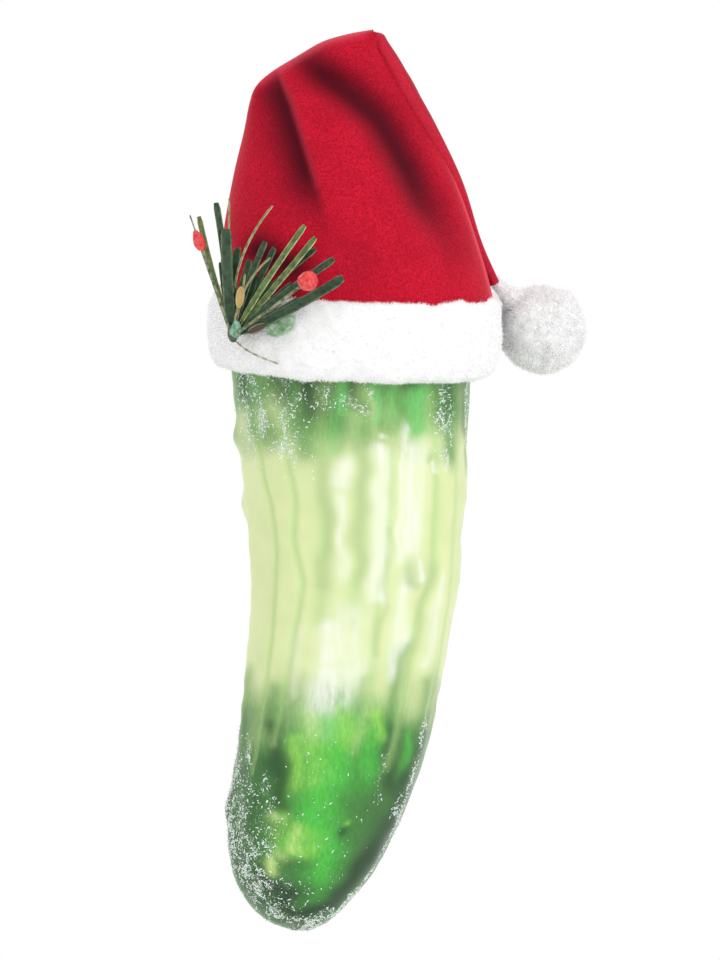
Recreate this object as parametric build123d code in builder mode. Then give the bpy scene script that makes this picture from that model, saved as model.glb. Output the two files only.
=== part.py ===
from build123d import *
from math import cos, exp, radians, sin, sqrt
import os

# Blown glass pickle ornament in a folded velvet hat, in millimetres.
# +Z is up, +Y is away from the viewer, and the origin is the centre of the hanging eye.

# Hanger: one spring wire, eye on top, two strands through the cap, two legs in the neck
wire_diameter = 0.9
eye_width = 4.4
eye_shoulder_drop = 1.4
eye_foot_drop = 4.4
strand_pitch = 2.6
strand_bend = 2.0
leg_bend = 3.0
leg_spread = 9.0
leg_reach = 6.0

# Glass: the neck, then slices down the body as (height, sideways bend, radius)
neck_top = -17.0
neck_length = 8.6
neck_radius = 4.5
neck_sink = 1.0
shoulder_step = 0.5
glass_wall = 1.0
body_slices = (
    (-29.5, 0.3, 9.6),
    (-34.0, 0.6, 13.6),
    (-40.0, 0.9, 16.8),
    (-48.0, 1.2, 18.8),
    (-57.0, 1.3, 19.8),
    (-67.0, 1.3, 19.2),
    (-77.0, 1.7, 18.7),
    (-87.0, 1.6, 17.6),
    (-97.5, 0.8, 16.9),
    (-108.0, -0.8, 16.5),
    (-117.0, -2.2, 16.0),
    (-125.0, -4.2, 15.3),
    (-132.0, -5.9, 13.9),
    (-138.0, -7.1, 11.8),
    (-142.8, -7.9, 8.6),
    (-146.0, -7.9, 5.2),
    (-147.6, -7.5, 1.6),
)
ridge_count = 10
ridge_height = 0.45
ridge_fade = 16.0
wart_radius = 2.4
wart_height = 0.8
# Warts as (height, angle round the glass), with the front at -90
front_warts = (
    (-66, -45), (-87, -55), (-115, -60), (-64, 180), (-76, 176), (-127, 186), (-75, -14), (-89, -16)
)
back_wart_count = 8
back_wart_top = -70.0
back_wart_step = 7.5
back_wart_turn = 67.0

# Cap: a pressed metal cup with a scalloped skirt over the neck
cap_wall = 0.35
cap_skirt = 5.0
cap_fit = 0.12
cap_scallops = 8
cap_scallop_radius = 1.3
cap_hole_fit = 0.1

# Plush band round the hat, a ring tilted forwards and to the right
band_centre = (1.7, -0.35, -46.2)
band_forward_tilt = 6.0
band_side_tilt = 2.5
band_fit = 0.95
band_thickness = 3.8
band_height = 13.8
band_round = 1.7
bead_height = 3.0
bead_gap = 0.1
bead_thickness = 0.7

# Velvet crown: slices as (left x, left z, right x, right z, middle y, half depth, fold depth,
# angle of the long fold, angle of the short fold), from the band up and over to the crest
velvet_wall = 1.2
crown_inset = 1.9
crown_oval = 0.5
crown_slices = (
    (-20.7, -31.0, 21.8, -31.0, -2.6, 18.6, 0.5, -36, -100),
    (-19.2, -21.0, 18.2, -21.0, -4.1, 15.0, 1.5, -50, -106),
    (-17.0, -12.2, 13.8, -12.2, -5.4, 12.0, 2.1, -64, -116),
    (-15.3, -5.6, 10.5, -6.0, -6.4, 9.6, 1.9, -84, -130),
    (-11.0, -1.8, 8.1, -1.8, -7.1, 7.8, 1.0, -112, -140),
    (-3.9, 2.3, 6.0, 0.7, -7.4, 6.6, 0.3, -118, -150),
    (3.3, 3.6, 4.7, 0.9, -7.5, 6.0, 0.0, -118, -150),
)
short_fold_share = 0.6
back_folds = ((62, 0.35), (118, 0.45))
fold_spread = 17.0
cloth_points = 32
cloth_steps = 2
hollow_slices = 5
slit_clearance = 0.4
slit_reach = 6.5

# Tail: the tip of the hat, turned over at the crest and lying along the crown's right side
tail_roll_radius = 1.4
tail_thickness = 1.4
tail_gap = 0.25
tail_crease = 0.3
tail_stations = ((4, -7.4, 11.9), (3, -7.2, 11.6), (2, -5.0, 10.6), (1, -1.4, 8.6), (0, 3.2, 6.4))
tip_width = 4.4
tip_overhang = 0.6
tip_clearance = 0.4

# Pompom on the tail's tip, beside the band
pompom_radius = 7.6
pompom_gap = 0.4
pompom_angle = 16.2
pompom_drop = 6.4
tie_radius = 0.7
tie_play = 0.15

# Sprig: a taped foot on the band, flat needles in layers, two berries on wires
foot_angle = 220.3
foot_lift = -0.45
foot_radius = 1.9
foot_gap = 0.2
foot_stub = 2.4
foot_stub_radius = 0.8
needle_start = 2.2
needle_root = 0.4
needle_thickness = 0.35
layer_pitch = 0.6
layer_middle = 1.5
outward_lean = 0.62
# Needle tips as (right, up) from the foot, then width, sideways bow, layer and extra lean
needles = (
    (-5.6, 20.3, 1.7, 0.3, 0, 0.0),
    (-2.7, 22.6, 1.6, -0.3, 1, 0.0),
    (-0.5, 23.3, 0.9, 0.2, 2, 0.0),
    (-1.0, 18.1, 2.0, 0.2, 3, 0.6),
    (6.8, 22.0, 0.9, -1.0, 1, 0.0),
    (5.6, 16.0, 1.5, 0.3, 2, 0.0),
    (7.1, 15.0, 1.5, -0.2, 0, 0.0),
    (12.2, 18.6, 1.3, 0.2, 3, 0.8),
    (14.0, 16.6, 1.3, -0.2, 2, 0.8),
    (14.0, 14.7, 1.4, 0.5, 1, 0.0),
    (17.1, 13.0, 1.5, 0.3, 3, 0.4),
    (18.6, 9.8, 2.0, -0.5, 4, 0.5),
    (6.4, 13.3, 0.8, 0.0, 4, 0.4),
)
berry_wire = 0.6
berry_fit = 0.06
berry_layer = 5
# Berries as (side, right, up, lean, half width, half length, wire past the berry)
berries = (
    ("left", -5.6, 16.2, 2.4, 0.95, 1.9, 2.6),
    ("right", 12.8, 9.3, 3.6, 1.75, 1.75, 0.0),
)
scale_thickness = 0.5
# Scales as (name, right, up, forward, half width, half length, lean to the right in degrees)
scales = (
    ("bract_upper", 1.2, 6.9, 3.4, 0.85, 2.0, 10),
    ("bract_lower", 4.2, 1.2, 5.4, 0.95, 1.7, 72),
)
dab_place = (-0.3, 1.0, 2.7)
dab_half_size = (0.9, 0.5, 0.9)
moss_angle = 241.0
moss_lift = 2.8
moss_half_size = (2.3, 0.8, 1.7)
moss_gap = 0.2
tail_wire_diameter = 0.5
tail_wire_gap = 0.2
# Loose wire end as (angle round the band, height above its middle)
tail_wire_route = ((221, -2.4), (230, -3.2), (240, -4.2))

os.makedirs("parts", exist_ok=True)


def finish(piece, name):
    """Label one piece and write it to its own file."""
    piece.part.label = name
    export_step(piece.part, f"parts/{name}.step")


def ring_of_arcs(points):
    """Draw a closed outline of arcs, each through three of the points."""
    for k in range(0, len(points), 2):
        ThreePointArc(points[k], points[k + 1], points[(k + 2) % len(points)])


def across(direction, along):
    """The part of a direction that is square to another one."""
    direction = Vector(direction)
    along = Vector(along).normalized()
    return (direction - along * direction.dot(along)).normalized()


# Glass pickle

neck_foot = neck_top - neck_length
glass_slices = ((neck_foot, 0.0, neck_radius - shoulder_step),) + body_slices
glass_tip = body_slices[-1][0]


def glass_at(height):
    """Sideways bend and radius of the glass at a height."""
    for above, below in zip(glass_slices, glass_slices[1:]):
        if height >= below[0]:
            share = (above[0] - height) / (above[0] - below[0])
            return [a + (b - a) * share for a, b in zip(above[1:], below[1:])]
    return glass_slices[-1][1:]


def ridged_points(height, radius):
    """Points of one slice: out over each ridge and in at each groove, fading towards the ends."""
    fade = min(1, (neck_foot - height) / ridge_fade, (height - glass_tip) / ridge_fade)
    points = []
    for k in range(4 * ridge_count):
        angle = radians(90 * k / ridge_count)
        here = radius + fade * ridge_height * (0, 1, 0, -1)[k % 4]
        points.append((here * cos(angle), here * sin(angle)))
    return points


wart_places = [
    *front_warts,
    *((back_wart_top - back_wart_step * k, 20 + back_wart_turn * k % 140) for k in range(back_wart_count)),
]

with BuildPart() as pickle_glass:
    for height, bend, radius in glass_slices:
        with BuildSketch(Plane((bend, 0, height))):
            with BuildLine():
                Spline(ridged_points(height, radius), periodic=True)
            make_face()
    loft()
    for height, angle in wart_places:
        bend, radius = glass_at(height)
        seat = radius + wart_height - wart_radius
        with Locations((bend + seat * cos(radians(angle)), seat * sin(radians(angle)), height)):
            Sphere(wart_radius)
    with BuildSketch(Plane.XY.offset(neck_foot - neck_sink)):
        Circle(neck_radius)
    extrude(amount=neck_length + neck_sink)
    for height, bend, radius in glass_slices[:-1]:
        hollow = radius - glass_wall
        if height < neck_foot:
            hollow -= ridge_height
        with BuildSketch(Plane((bend, 0, height))):
            Circle(hollow)
    loft(mode=Mode.SUBTRACT)
    with BuildSketch(Plane.XY.offset(neck_foot - neck_sink)):
        Circle(neck_radius - glass_wall)
    extrude(amount=neck_length + neck_sink, mode=Mode.SUBTRACT)
finish(pickle_glass, "pickle_glass")

# Metal cap on the neck

cap_inner = neck_radius + cap_fit
cap_outer = cap_inner + cap_wall
cap_top = neck_top + cap_wall
cap_hole = wire_diameter / 2 + cap_hole_fit
with BuildPart() as ornament_cap:
    with BuildSketch(Plane.XY.offset(cap_top)):
        Circle(cap_outer)
    extrude(amount=-(cap_wall + cap_skirt))
    with BuildSketch(Plane.XY.offset(neck_top)):
        Circle(cap_inner)
    extrude(amount=-cap_skirt, mode=Mode.SUBTRACT)
    with BuildSketch(Plane.XY.offset(cap_top)):
        with Locations((-strand_pitch / 2, 0), (strand_pitch / 2, 0)):
            Circle(cap_hole)
    extrude(amount=-cap_wall, mode=Mode.SUBTRACT)
    for k in range(cap_scallops):
        turn = 360 * k / cap_scallops
        with BuildSketch(Plane((0, 0, neck_top - cap_skirt)).rotated((90, 0, turn))):
            Circle(cap_scallop_radius)
        extrude(amount=-cap_outer, mode=Mode.SUBTRACT)
    fillet(ornament_cap.faces().sort_by(Axis.Z)[-1].outer_wire().edges(), cap_wall * 0.6)
finish(ornament_cap, "ornament_cap")

# Hanger wire

eye_half = (eye_width + wire_diameter) / 2
strand = strand_pitch / 2
leg_top = neck_foot + leg_bend / 2
hanger_half = (
    (leg_spread / 2, neck_foot - leg_reach),
    (strand, leg_top),
    (strand, -eye_foot_drop),
    (eye_half, -eye_shoulder_drop),
    (eye_half, eye_half),
)
hanger_points = [(-x, z) for x, z in hanger_half] + list(reversed(hanger_half))
with BuildPart() as hanger_wire:
    with BuildLine(Plane.XZ) as hanger_path:
        FilletPolyline(
            hanger_points,
            radius=[leg_bend, strand_bend, strand_bend, eye_half * 0.98]
            + [eye_half * 0.98, strand_bend, strand_bend, leg_bend],
        )
    with BuildSketch(Plane(hanger_path.line @ 0, z_dir=hanger_path.line % 0)):
        Circle(wire_diameter / 2)
    sweep()
finish(hanger_wire, "hanger_wire")

# Plush band and the glue bead behind it

band_lean = Vector(sin(radians(band_side_tilt)), -sin(radians(band_forward_tilt)), 1)
band_plane = Plane(band_centre, x_dir=across((1, 0, 0), band_lean), z_dir=band_lean)
band_inner = max(radius for height, bend, radius in body_slices) + ridge_height + band_fit
band_outer = band_inner + band_thickness


def on_band(distance, angle, lift):
    """A point by its distance from the band's axis, its angle and its height above the middle."""
    return band_plane.from_local_coords(
        (distance * cos(radians(angle)), distance * sin(radians(angle)), lift)
    )


band_axis = Axis(band_centre, band_plane.z_dir)
band_section = Plane(band_centre, x_dir=band_plane.x_dir, z_dir=-band_plane.y_dir)
with BuildPart() as brim_band:
    with BuildSketch(band_section):
        with Locations(((band_inner + band_outer) / 2, 0)):
            RectangleRounded(band_thickness, band_height, band_round)
    revolve(axis=band_axis)
finish(brim_band, "brim_band")

bead_outer = band_inner - bead_gap
with BuildPart() as glue_bead:
    with BuildSketch(band_section):
        with Locations((bead_outer - bead_thickness / 2, band_height / 2 - band_round - bead_height / 2)):
            RectangleRounded(bead_thickness, bead_height, bead_thickness * 0.4)
    revolve(axis=band_axis)
finish(glue_bead, "glue_bead")

# Velvet crown

crown_radius = band_outer - crown_inset
crown_foot = band_plane.offset(band_height / 2)


def turn_between(a, b):
    """Smallest angle between two directions, in degrees."""
    return abs((a - b + 180) % 360 - 180)


def cloth_outline(half_width, half_depth, folds):
    """Points of an oval slice of cloth, drawn in at each fold, given as (angle, depth)."""
    points = []
    for k in range(cloth_points):
        angle = 360 * k / cloth_points
        x = half_width * cos(radians(angle))
        y = half_depth * sin(radians(angle))
        dip = sum(depth * exp(-((turn_between(angle, place) / fold_spread) ** 2)) for place, depth in folds)
        share = 1 - dip / sqrt(x * x + y * y)
        points.append((x * share, y * share))
    return points


def crown_plane(row):
    """Plane of a slice, with x from its left end to its right end and y to the back."""
    left_x, left_z, right_x, right_z, middle_y = row[:5]
    rise = Vector(right_x - left_x, 0, right_z - left_z)
    middle = ((left_x + right_x) / 2, middle_y, (left_z + right_z) / 2)
    return Plane(middle, x_dir=rise, z_dir=(-rise.Z, 0, rise.X))


def crown_half_width(row):
    left_x, left_z, right_x, right_z = row[:4]
    return Vector(right_x - left_x, 0, right_z - left_z).length / 2


def crown_folds(row):
    depth, long_angle, short_angle = row[6:]
    front = [(long_angle, depth), (short_angle, depth * short_fold_share)]
    return front + [(angle, depth * share) for angle, share in back_folds]


def cloth_slice(plane, half_width, half_depth, folds):
    """One slice of cloth on its plane."""
    with BuildSketch(plane) as drawn:
        with BuildLine():
            ring_of_arcs(cloth_outline(half_width, half_depth, folds))
        make_face()
    return drawn.sketch


def smooth_rows(rows):
    """Slices with more between them, on a curve through every one of them."""
    smooth = []
    for k in range(len(rows) - 1):
        near = list(zip(rows[max(k - 1, 0)], rows[k], rows[k + 1], rows[min(k + 2, len(rows) - 1)]))
        for step in range(cloth_steps):
            t = step / cloth_steps
            smooth.append([
                b + (c - a) * t / 2 + (2 * a - 5 * b + 4 * c - d) * t**2 / 2 + (3 * b - a - 3 * c + d) * t**3 / 2
                for a, b, c, d in near
            ])
    return smooth + [rows[-1]]


def crown_sections(rows, inset):
    """Slices of the crown from the band up, all drawn in by an inset."""
    reach = crown_radius - inset
    sections = [cloth_slice(crown_foot, reach, reach - crown_oval, ())]
    for row in rows:
        half_width = crown_half_width(row) - inset
        sections.append(cloth_slice(crown_plane(row), half_width, row[5] - inset, crown_folds(row)))
    return sections


crown_rows = smooth_rows(crown_slices)
hollow_rows = crown_rows[: cloth_steps * (hollow_slices - 1) + 1]
slit_half = eye_half + wire_diameter / 2 + slit_clearance
slit_front = -wire_diameter / 2 - slit_clearance
with BuildPart() as hat_crown:
    loft(sections=crown_sections(crown_rows, 0), ruled=True)
    loft(sections=crown_sections(hollow_rows, velvet_wall), ruled=True, mode=Mode.SUBTRACT)
    with BuildSketch(Plane((0, slit_front, 0), x_dir=(1, 0, 0), z_dir=(0, 1, 0))):
        Rectangle(2 * slit_half, 2 * slit_reach)
    extrude(amount=crown_radius, mode=Mode.SUBTRACT)
finish(hat_crown, "hat_crown")

# Tail, hinged on its roll behind the end of the crest

crest_row = crown_slices[-1]
crest_plane = crown_plane(crest_row)
tail_hinge = crest_plane.origin + crest_plane.z_dir * (tail_roll_radius + tail_gap)
tip_pivot = on_band(band_outer + tip_overhang, pompom_angle, band_height / 2 + tail_thickness / 2 + tip_clearance)
tip_along = on_band(1, pompom_angle + 90, 0) - on_band(0, 0, 0)


def crown_side(row, y):
    """Point on the right side of a crown slice at a depth."""
    plane = crown_plane(row)
    reach = crown_half_width(row) * sqrt(1 - ((y - row[4]) / row[5]) ** 2)
    return plane.origin + plane.x_dir * reach + Vector(0, y - row[4], 0)


def tail_point(index, y):
    """Middle of the tail beside a crown slice, and the direction out of the cloth there."""
    row = crown_slices[index]
    seat = crown_side(row, y)
    below = crown_side(crown_slices[max(index - 1, 0)], y)
    above = crown_side(crown_slices[index + 1], y)
    outward = (crown_side(row, y + 1) - seat).cross(above - below).normalized()
    return seat + outward * (tail_gap + tail_thickness / 2), outward


tail_points = [tail_hinge]
tail_outward = [Vector(1, 0, 0)]
tail_widths = [2 * crest_row[5]]
for index, y, width in tail_stations:
    point, outward = tail_point(index, y)
    tail_points.append(point)
    tail_outward.append(outward)
    tail_widths.append(width)
tail_points.append(tip_pivot)
tail_outward.append(tip_along.cross(Vector(0, 0, 1)))
tail_widths.append(tip_width)

tail_sections = []
for k, point in enumerate(tail_points):
    before = tail_points[max(k - 1, 0)]
    after = tail_points[min(k + 1, len(tail_points) - 1)]
    along = (after - before).normalized()
    outward = across(tail_outward[k], along)
    plane = Plane(point, x_dir=outward.cross(along), z_dir=along)
    tail_sections.append(cloth_slice(plane, tail_widths[k] / 2, tail_thickness / 2, ((90, tail_crease),)))

with BuildPart() as hat_tail:
    loft(sections=tail_sections, ruled=True)
    with BuildSketch(Plane(tail_hinge, x_dir=(1, 0, 0), z_dir=(0, 1, 0))):
        Circle(tail_roll_radius)
    extrude(amount=crest_row[5], both=True)
    with BuildSketch(Plane(tip_pivot, z_dir=tip_along)):
        Circle(tail_thickness / 2)
    extrude(amount=tip_width / 2, both=True)
finish(hat_tail, "hat_tail")

# Pompom and the thread that ties it on

pompom_centre = on_band(band_outer + pompom_gap + pompom_radius, pompom_angle, band_height / 2 - pompom_drop)
with BuildPart(Plane(pompom_centre)) as pompom:
    Sphere(pompom_radius)
finish(pompom, "pompom")

tie_line = (pompom_centre - tip_pivot).normalized()
tie_start = tip_pivot + tie_line * (tail_thickness / 2 + tie_play)
tie_length = (pompom_centre - tie_start).length - pompom_radius
with BuildPart() as pompom_tie:
    with BuildSketch(Plane(tie_start, z_dir=tie_line)):
        Circle(tie_radius)
    extrude(amount=tie_length)
finish(pompom_tie, "pompom_tie")

# Sprig foot

foot = on_band(band_outer + foot_gap + foot_radius, foot_angle, foot_lift)
with BuildPart(Plane(foot)) as sprig_binding:
    Sphere(foot_radius)
    with BuildSketch(Plane(foot)):
        Circle(foot_stub_radius)
    extrude(amount=-(foot_radius + foot_stub))
finish(sprig_binding, "sprig_binding")


def fan_reach(right, up, layer, lean):
    """Root and tip of a needle or wire that fans out of the foot."""
    offset = Vector(0, -(layer - layer_middle) * layer_pitch, 0)
    tip = Vector(right, -outward_lean * max(right, 0) - lean, up)
    return foot + offset + tip.normalized() * needle_start, foot + offset + tip


# Needles, each a thin blade between two arcs

for number, (right, up, width, bow, layer, lean) in enumerate(needles, start=1):
    root, tip = fan_reach(right, up, layer, lean)
    along = (tip - root).normalized()
    face_out = across((-outward_lean if right > 0 else 0, -1, 0), along)
    length = (tip - root).length
    with BuildPart() as needle:
        with BuildSketch(Plane(root, x_dir=along, z_dir=face_out)):
            with BuildLine():
                Line((0, needle_root / 2), (0, -needle_root / 2))
                ThreePointArc((0, -needle_root / 2), (length / 2, bow - width / 2), (length, 0))
                ThreePointArc((length, 0), (length / 2, bow + width / 2), (0, needle_root / 2))
            make_face()
        extrude(amount=needle_thickness / 2, both=True)
    finish(needle, f"needle_{number:02d}")

# Berries threaded on their wires

for side, right, up, lean, half_width, half_length, spare in berries:
    root, centre = fan_reach(right, up, berry_layer, lean)
    along = (centre - root).normalized()
    wire_end = half_length + spare if spare else 0
    with BuildPart() as berry_stem:
        with BuildSketch(Plane(root, z_dir=along)):
            Circle(berry_wire / 2)
        extrude(amount=(centre - root).length + wire_end)
    finish(berry_stem, f"berry_stem_{side}")
    profile = Plane(centre, x_dir=across((1, 0, 0), along), z_dir=across((1, 0, 0), along).cross(along))
    with BuildPart() as berry:
        with BuildSketch(profile):
            with BuildLine():
                ThreePointArc((0, -half_length), (half_width, 0), (0, half_length))
                Line((0, half_length), (0, -half_length))
            make_face()
        revolve(axis=Axis(centre, along))
        with BuildSketch(Plane(centre - along * half_length, z_dir=along)):
            Circle(berry_wire / 2 + berry_fit)
        extrude(amount=half_length + (wire_end or berry_fit), mode=Mode.SUBTRACT)
    finish(berry, f"berry_{side}")

# Small scales, dab and moss at the foot

for name, right, up, forward, half_width, half_length, lean in scales:
    place = foot + Vector(right, -forward, up)
    upward = Vector(sin(radians(lean)), 0, cos(radians(lean)))
    with BuildPart() as scale:
        with BuildSketch(Plane(place, x_dir=upward, z_dir=(0, -1, 0))):
            with BuildLine():
                ThreePointArc((-half_length, 0), (0, half_width), (half_length, 0))
                ThreePointArc((half_length, 0), (0, -half_width), (-half_length, 0))
            make_face()
        extrude(amount=scale_thickness / 2, both=True)
    finish(scale, name)


dab_plane = Plane(foot + Vector(dab_place[0], -dab_place[2], dab_place[1]), x_dir=(1, 0, 0), z_dir=(0, -1, 0))
with BuildPart() as sprig_dab:
    with BuildSketch(dab_plane):
        Ellipse(dab_half_size[0], dab_half_size[2])
    extrude(amount=dab_half_size[1], both=True)
    fillet(sprig_dab.edges(), dab_half_size[1] * 0.7)
finish(sprig_dab, "sprig_dab")

moss_place = on_band(band_outer + moss_gap + moss_half_size[1], moss_angle, moss_lift)
moss_out = (moss_place - on_band(0, 0, moss_lift)).normalized()
with BuildPart() as moss_tuft:
    with BuildSketch(Plane(moss_place, x_dir=band_plane.z_dir.cross(moss_out), z_dir=moss_out)):
        Ellipse(moss_half_size[0], moss_half_size[2])
    extrude(amount=moss_half_size[1], both=True)
    fillet(moss_tuft.edges(), moss_half_size[1] * 0.7)
finish(moss_tuft, "moss_tuft")

# Loose end of the binding wire, lying on the plush

wire_distance = band_outer + tail_wire_gap + tail_wire_diameter / 2
with BuildPart() as wire_tail:
    with BuildLine() as wire_route:
        ThreePointArc(*(on_band(wire_distance, angle, lift) for angle, lift in tail_wire_route))
    with BuildSketch(Plane(wire_route.line @ 0, z_dir=wire_route.line % 0)):
        Circle(tail_wire_diameter / 2)
    sweep()
finish(wire_tail, "wire_tail")

print("tail hinge", tail_hinge, "pompom pivot", tip_pivot, "pivot axis", -tip_along)
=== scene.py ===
# %% [markdown]
# A blown glass pickle in a folded velvet hat, hung by a wire eye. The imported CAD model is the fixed
# frame: every piece made here takes its place and size from it, and nothing in it is moved. Sizes
# are written in millimetres, as a maker would say them, and turned into metres once, in `piece_from`.

# %% Frame
import math

import bmesh
import bpy
import numpy as np
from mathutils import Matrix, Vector


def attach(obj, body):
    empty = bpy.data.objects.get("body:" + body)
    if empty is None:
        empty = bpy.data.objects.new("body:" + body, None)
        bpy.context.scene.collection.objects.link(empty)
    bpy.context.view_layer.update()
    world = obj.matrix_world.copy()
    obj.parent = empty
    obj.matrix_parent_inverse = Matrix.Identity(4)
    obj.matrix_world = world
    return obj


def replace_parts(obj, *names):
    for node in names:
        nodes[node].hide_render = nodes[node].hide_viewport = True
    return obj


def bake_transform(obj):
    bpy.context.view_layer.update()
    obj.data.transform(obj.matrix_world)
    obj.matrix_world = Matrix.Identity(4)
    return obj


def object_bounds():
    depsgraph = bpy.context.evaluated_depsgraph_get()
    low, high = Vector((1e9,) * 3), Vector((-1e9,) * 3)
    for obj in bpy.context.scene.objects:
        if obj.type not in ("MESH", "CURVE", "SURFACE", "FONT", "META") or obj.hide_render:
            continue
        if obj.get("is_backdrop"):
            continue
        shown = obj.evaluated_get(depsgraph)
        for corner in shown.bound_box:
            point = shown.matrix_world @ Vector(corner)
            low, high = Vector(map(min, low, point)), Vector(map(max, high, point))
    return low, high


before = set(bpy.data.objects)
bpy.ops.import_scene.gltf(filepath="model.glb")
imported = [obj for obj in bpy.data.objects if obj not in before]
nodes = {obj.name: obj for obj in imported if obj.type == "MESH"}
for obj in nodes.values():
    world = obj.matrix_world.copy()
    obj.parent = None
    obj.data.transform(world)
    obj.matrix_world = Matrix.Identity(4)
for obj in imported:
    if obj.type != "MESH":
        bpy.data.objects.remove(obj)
cad_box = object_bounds()
MM = 0.001

# %% [markdown]
# The ornament is seen level and from far away, so a long lens keeps its sides parallel. On an upright
# picture the sensor width counts for the tall side, which spans 162 mm of the object.

# %% Camera
VIEW_HEIGHT = 162.13
VIEW_CENTRE = (2.53, -71.61)
CAMERA_REACH = 4000.0
SENSOR = 36.0

camera = bpy.data.objects.new("camera", bpy.data.cameras.new("camera"))
bpy.context.scene.collection.objects.link(camera)
camera.location = (VIEW_CENTRE[0] * MM, -CAMERA_REACH * MM, VIEW_CENTRE[1] * MM)
camera.rotation_euler = (math.pi / 2, 0, 0)
camera.data.sensor_width = SENSOR
camera.data.lens = SENSOR * CAMERA_REACH / VIEW_HEIGHT
bpy.context.scene.camera = camera
bpy.context.scene.view_settings.view_transform = "Standard"
print("lens", round(camera.data.lens, 1), "mm")

# %% [markdown]
# Soft studio light: a pale room for the general level, a large soft box high at the right, two tall
# narrow ones whose reflections run down the glass as streaks, one behind that lights the rims, and a low
# one that fills the shade below. Area lamps are used because their shadows have soft edges.

# %% Light
ROOM_LEVEL = 0.9
LAMPS = (
    ("soft_box", (600, -850, 380), (520, 700), 2.5),
    ("strip_right", (330, -900, -40), (70, 620), 0.6),
    ("strip_left", (-300, -960, -40), (60, 560), 0.5),
    ("rim_box", (-420, 640, 380), (500, 500), 1.0),
    ("low_fill", (420, -620, -520), (500, 500), 0.7),
)
AIM = (1, -5, -70)


def seen_directly(tree):
    """1 for rays from the camera and for what gloss and glass show, else 0."""
    path = tree.nodes.new("ShaderNodeLightPath")
    share = path.outputs["Is Camera Ray"]
    for kind in ("Is Glossy Ray", "Is Transmission Ray"):
        either = tree.nodes.new("ShaderNodeMath")
        either.operation = "MAXIMUM"
        tree.links.new(share, either.inputs[0])
        tree.links.new(path.outputs[kind], either.inputs[1])
        share = either.outputs[0]
    return share


def vec(values):
    """Numbers as an array, so that whole points can be added and scaled."""
    return np.array(values, float)


def aimed(direction):
    """Turn that points an object's -Z along a direction."""
    return Vector(direction).to_track_quat("-Z", "Y").to_euler()


world = bpy.data.worlds.new("room")
bpy.context.scene.world = world
world.use_nodes = True
room = world.node_tree
level = room.nodes.new("ShaderNodeMapRange")
level.inputs["To Min"].default_value = ROOM_LEVEL
level.inputs["To Max"].default_value = 1.0
room.links.new(seen_directly(room), level.inputs["Value"])
room.links.new(level.outputs["Result"], room.nodes["Background"].inputs["Strength"])
room.nodes["Background"].inputs["Color"].default_value = (1, 1, 1, 1)
for name, place, size, power in LAMPS:
    lamp = bpy.data.lights.new(name, "AREA")
    lamp.shape = "RECTANGLE"
    lamp.size, lamp.size_y = size[0] * MM, size[1] * MM
    lamp.energy = power
    holder = bpy.data.objects.new(name, lamp)
    bpy.context.scene.collection.objects.link(holder)
    holder.location = vec(place) * MM
    holder.rotation_euler = aimed(vec(AIM) - vec(place))
print(len(LAMPS), "lamps")

# %% [markdown]
# A few small helpers do most of the mesh work. `piece_from` turns points in millimetres and faces into
# an object at the origin. `tube_from` skins a stack of rings and closes both ends with a fan, so that
# every body is watertight. `mark` stores a number on every point, for materials and scatter trees.

# %% Mesh helpers
def piece_from(name, points, faces, material=None):
    """An object at the origin, from points in millimetres, with its faces turned outwards."""
    mesh = bpy.data.meshes.new(name)
    mesh.from_pydata((np.asarray(points, float) * MM).tolist(), [], faces)
    shell = bmesh.new()
    shell.from_mesh(mesh)
    bmesh.ops.recalc_face_normals(shell, faces=shell.faces)
    shell.to_mesh(mesh)
    shell.free()
    mesh.polygons.foreach_set("use_smooth", [True] * len(mesh.polygons))
    if material:
        mesh.materials.append(material)
    piece = bpy.data.objects.new(name, mesh)
    bpy.context.scene.collection.objects.link(piece)
    return piece


def ring_faces(rows, around):
    """Quads between neighbouring rings of a stack."""
    return [
        (i * around + j, i * around + (j + 1) % around,
         (i + 1) * around + (j + 1) % around, (i + 1) * around + j)
        for i in range(rows - 1) for j in range(around)
    ]


def tube_from(name, rings, material=None):
    """A closed piece from rings of equal count, with a fan at each end."""
    rings = np.asarray(rings, float)
    rows, around = rings.shape[:2]
    points = np.vstack([rings.reshape(-1, 3), rings[0].mean(0), rings[-1].mean(0)])
    low, high = rows * around, rows * around + 1
    faces = ring_faces(rows, around)
    faces += [(low, (j + 1) % around, j) for j in range(around)]
    last = (rows - 1) * around
    faces += [(high, last + j, last + (j + 1) % around) for j in range(around)]
    return piece_from(name, points, faces, material)


def mark(piece, name, values):
    """Store one number per point; the two fan points of a tube repeat the end rings' means."""
    values = np.asarray(values, float)
    if values.ndim == 2:
        values = np.concatenate([values.ravel(), [values[0].mean(), values[-1].mean()]])
    piece.data.attributes.new(name, "FLOAT", "POINT").data.foreach_set("value", values.astype(np.float32))


print("mesh helpers ready")

# %% [markdown]
# Shapes are worked out as arrays of numbers before they become meshes. `swell` adds up slow waves in
# random directions, which gives smooth lumps that are the same on every run. `curve_through` puts more
# rows between given ones on a smooth curve, and `even_rows` spaces rows evenly along it.

# %% Number helpers
WAVES, WAVE_SPREAD = 16, (0.7, 1.4)


def unit(ways):
    """Directions of length 1."""
    return ways / np.linalg.norm(ways, axis=-1, keepdims=True)


def swell(points, wavelength, seed):
    """Smooth lumps, mostly between -1 and 1."""
    dice = np.random.default_rng(seed)
    ways = unit(dice.normal(size=(WAVES, 3)))
    ways *= 2 * np.pi / wavelength * dice.uniform(*WAVE_SPREAD, (WAVES, 1))
    phase = np.asarray(points, float) @ ways.T + dice.uniform(0, 2 * np.pi, WAVES)
    return np.cos(phase).sum(-1) / math.sqrt(WAVES)


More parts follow.
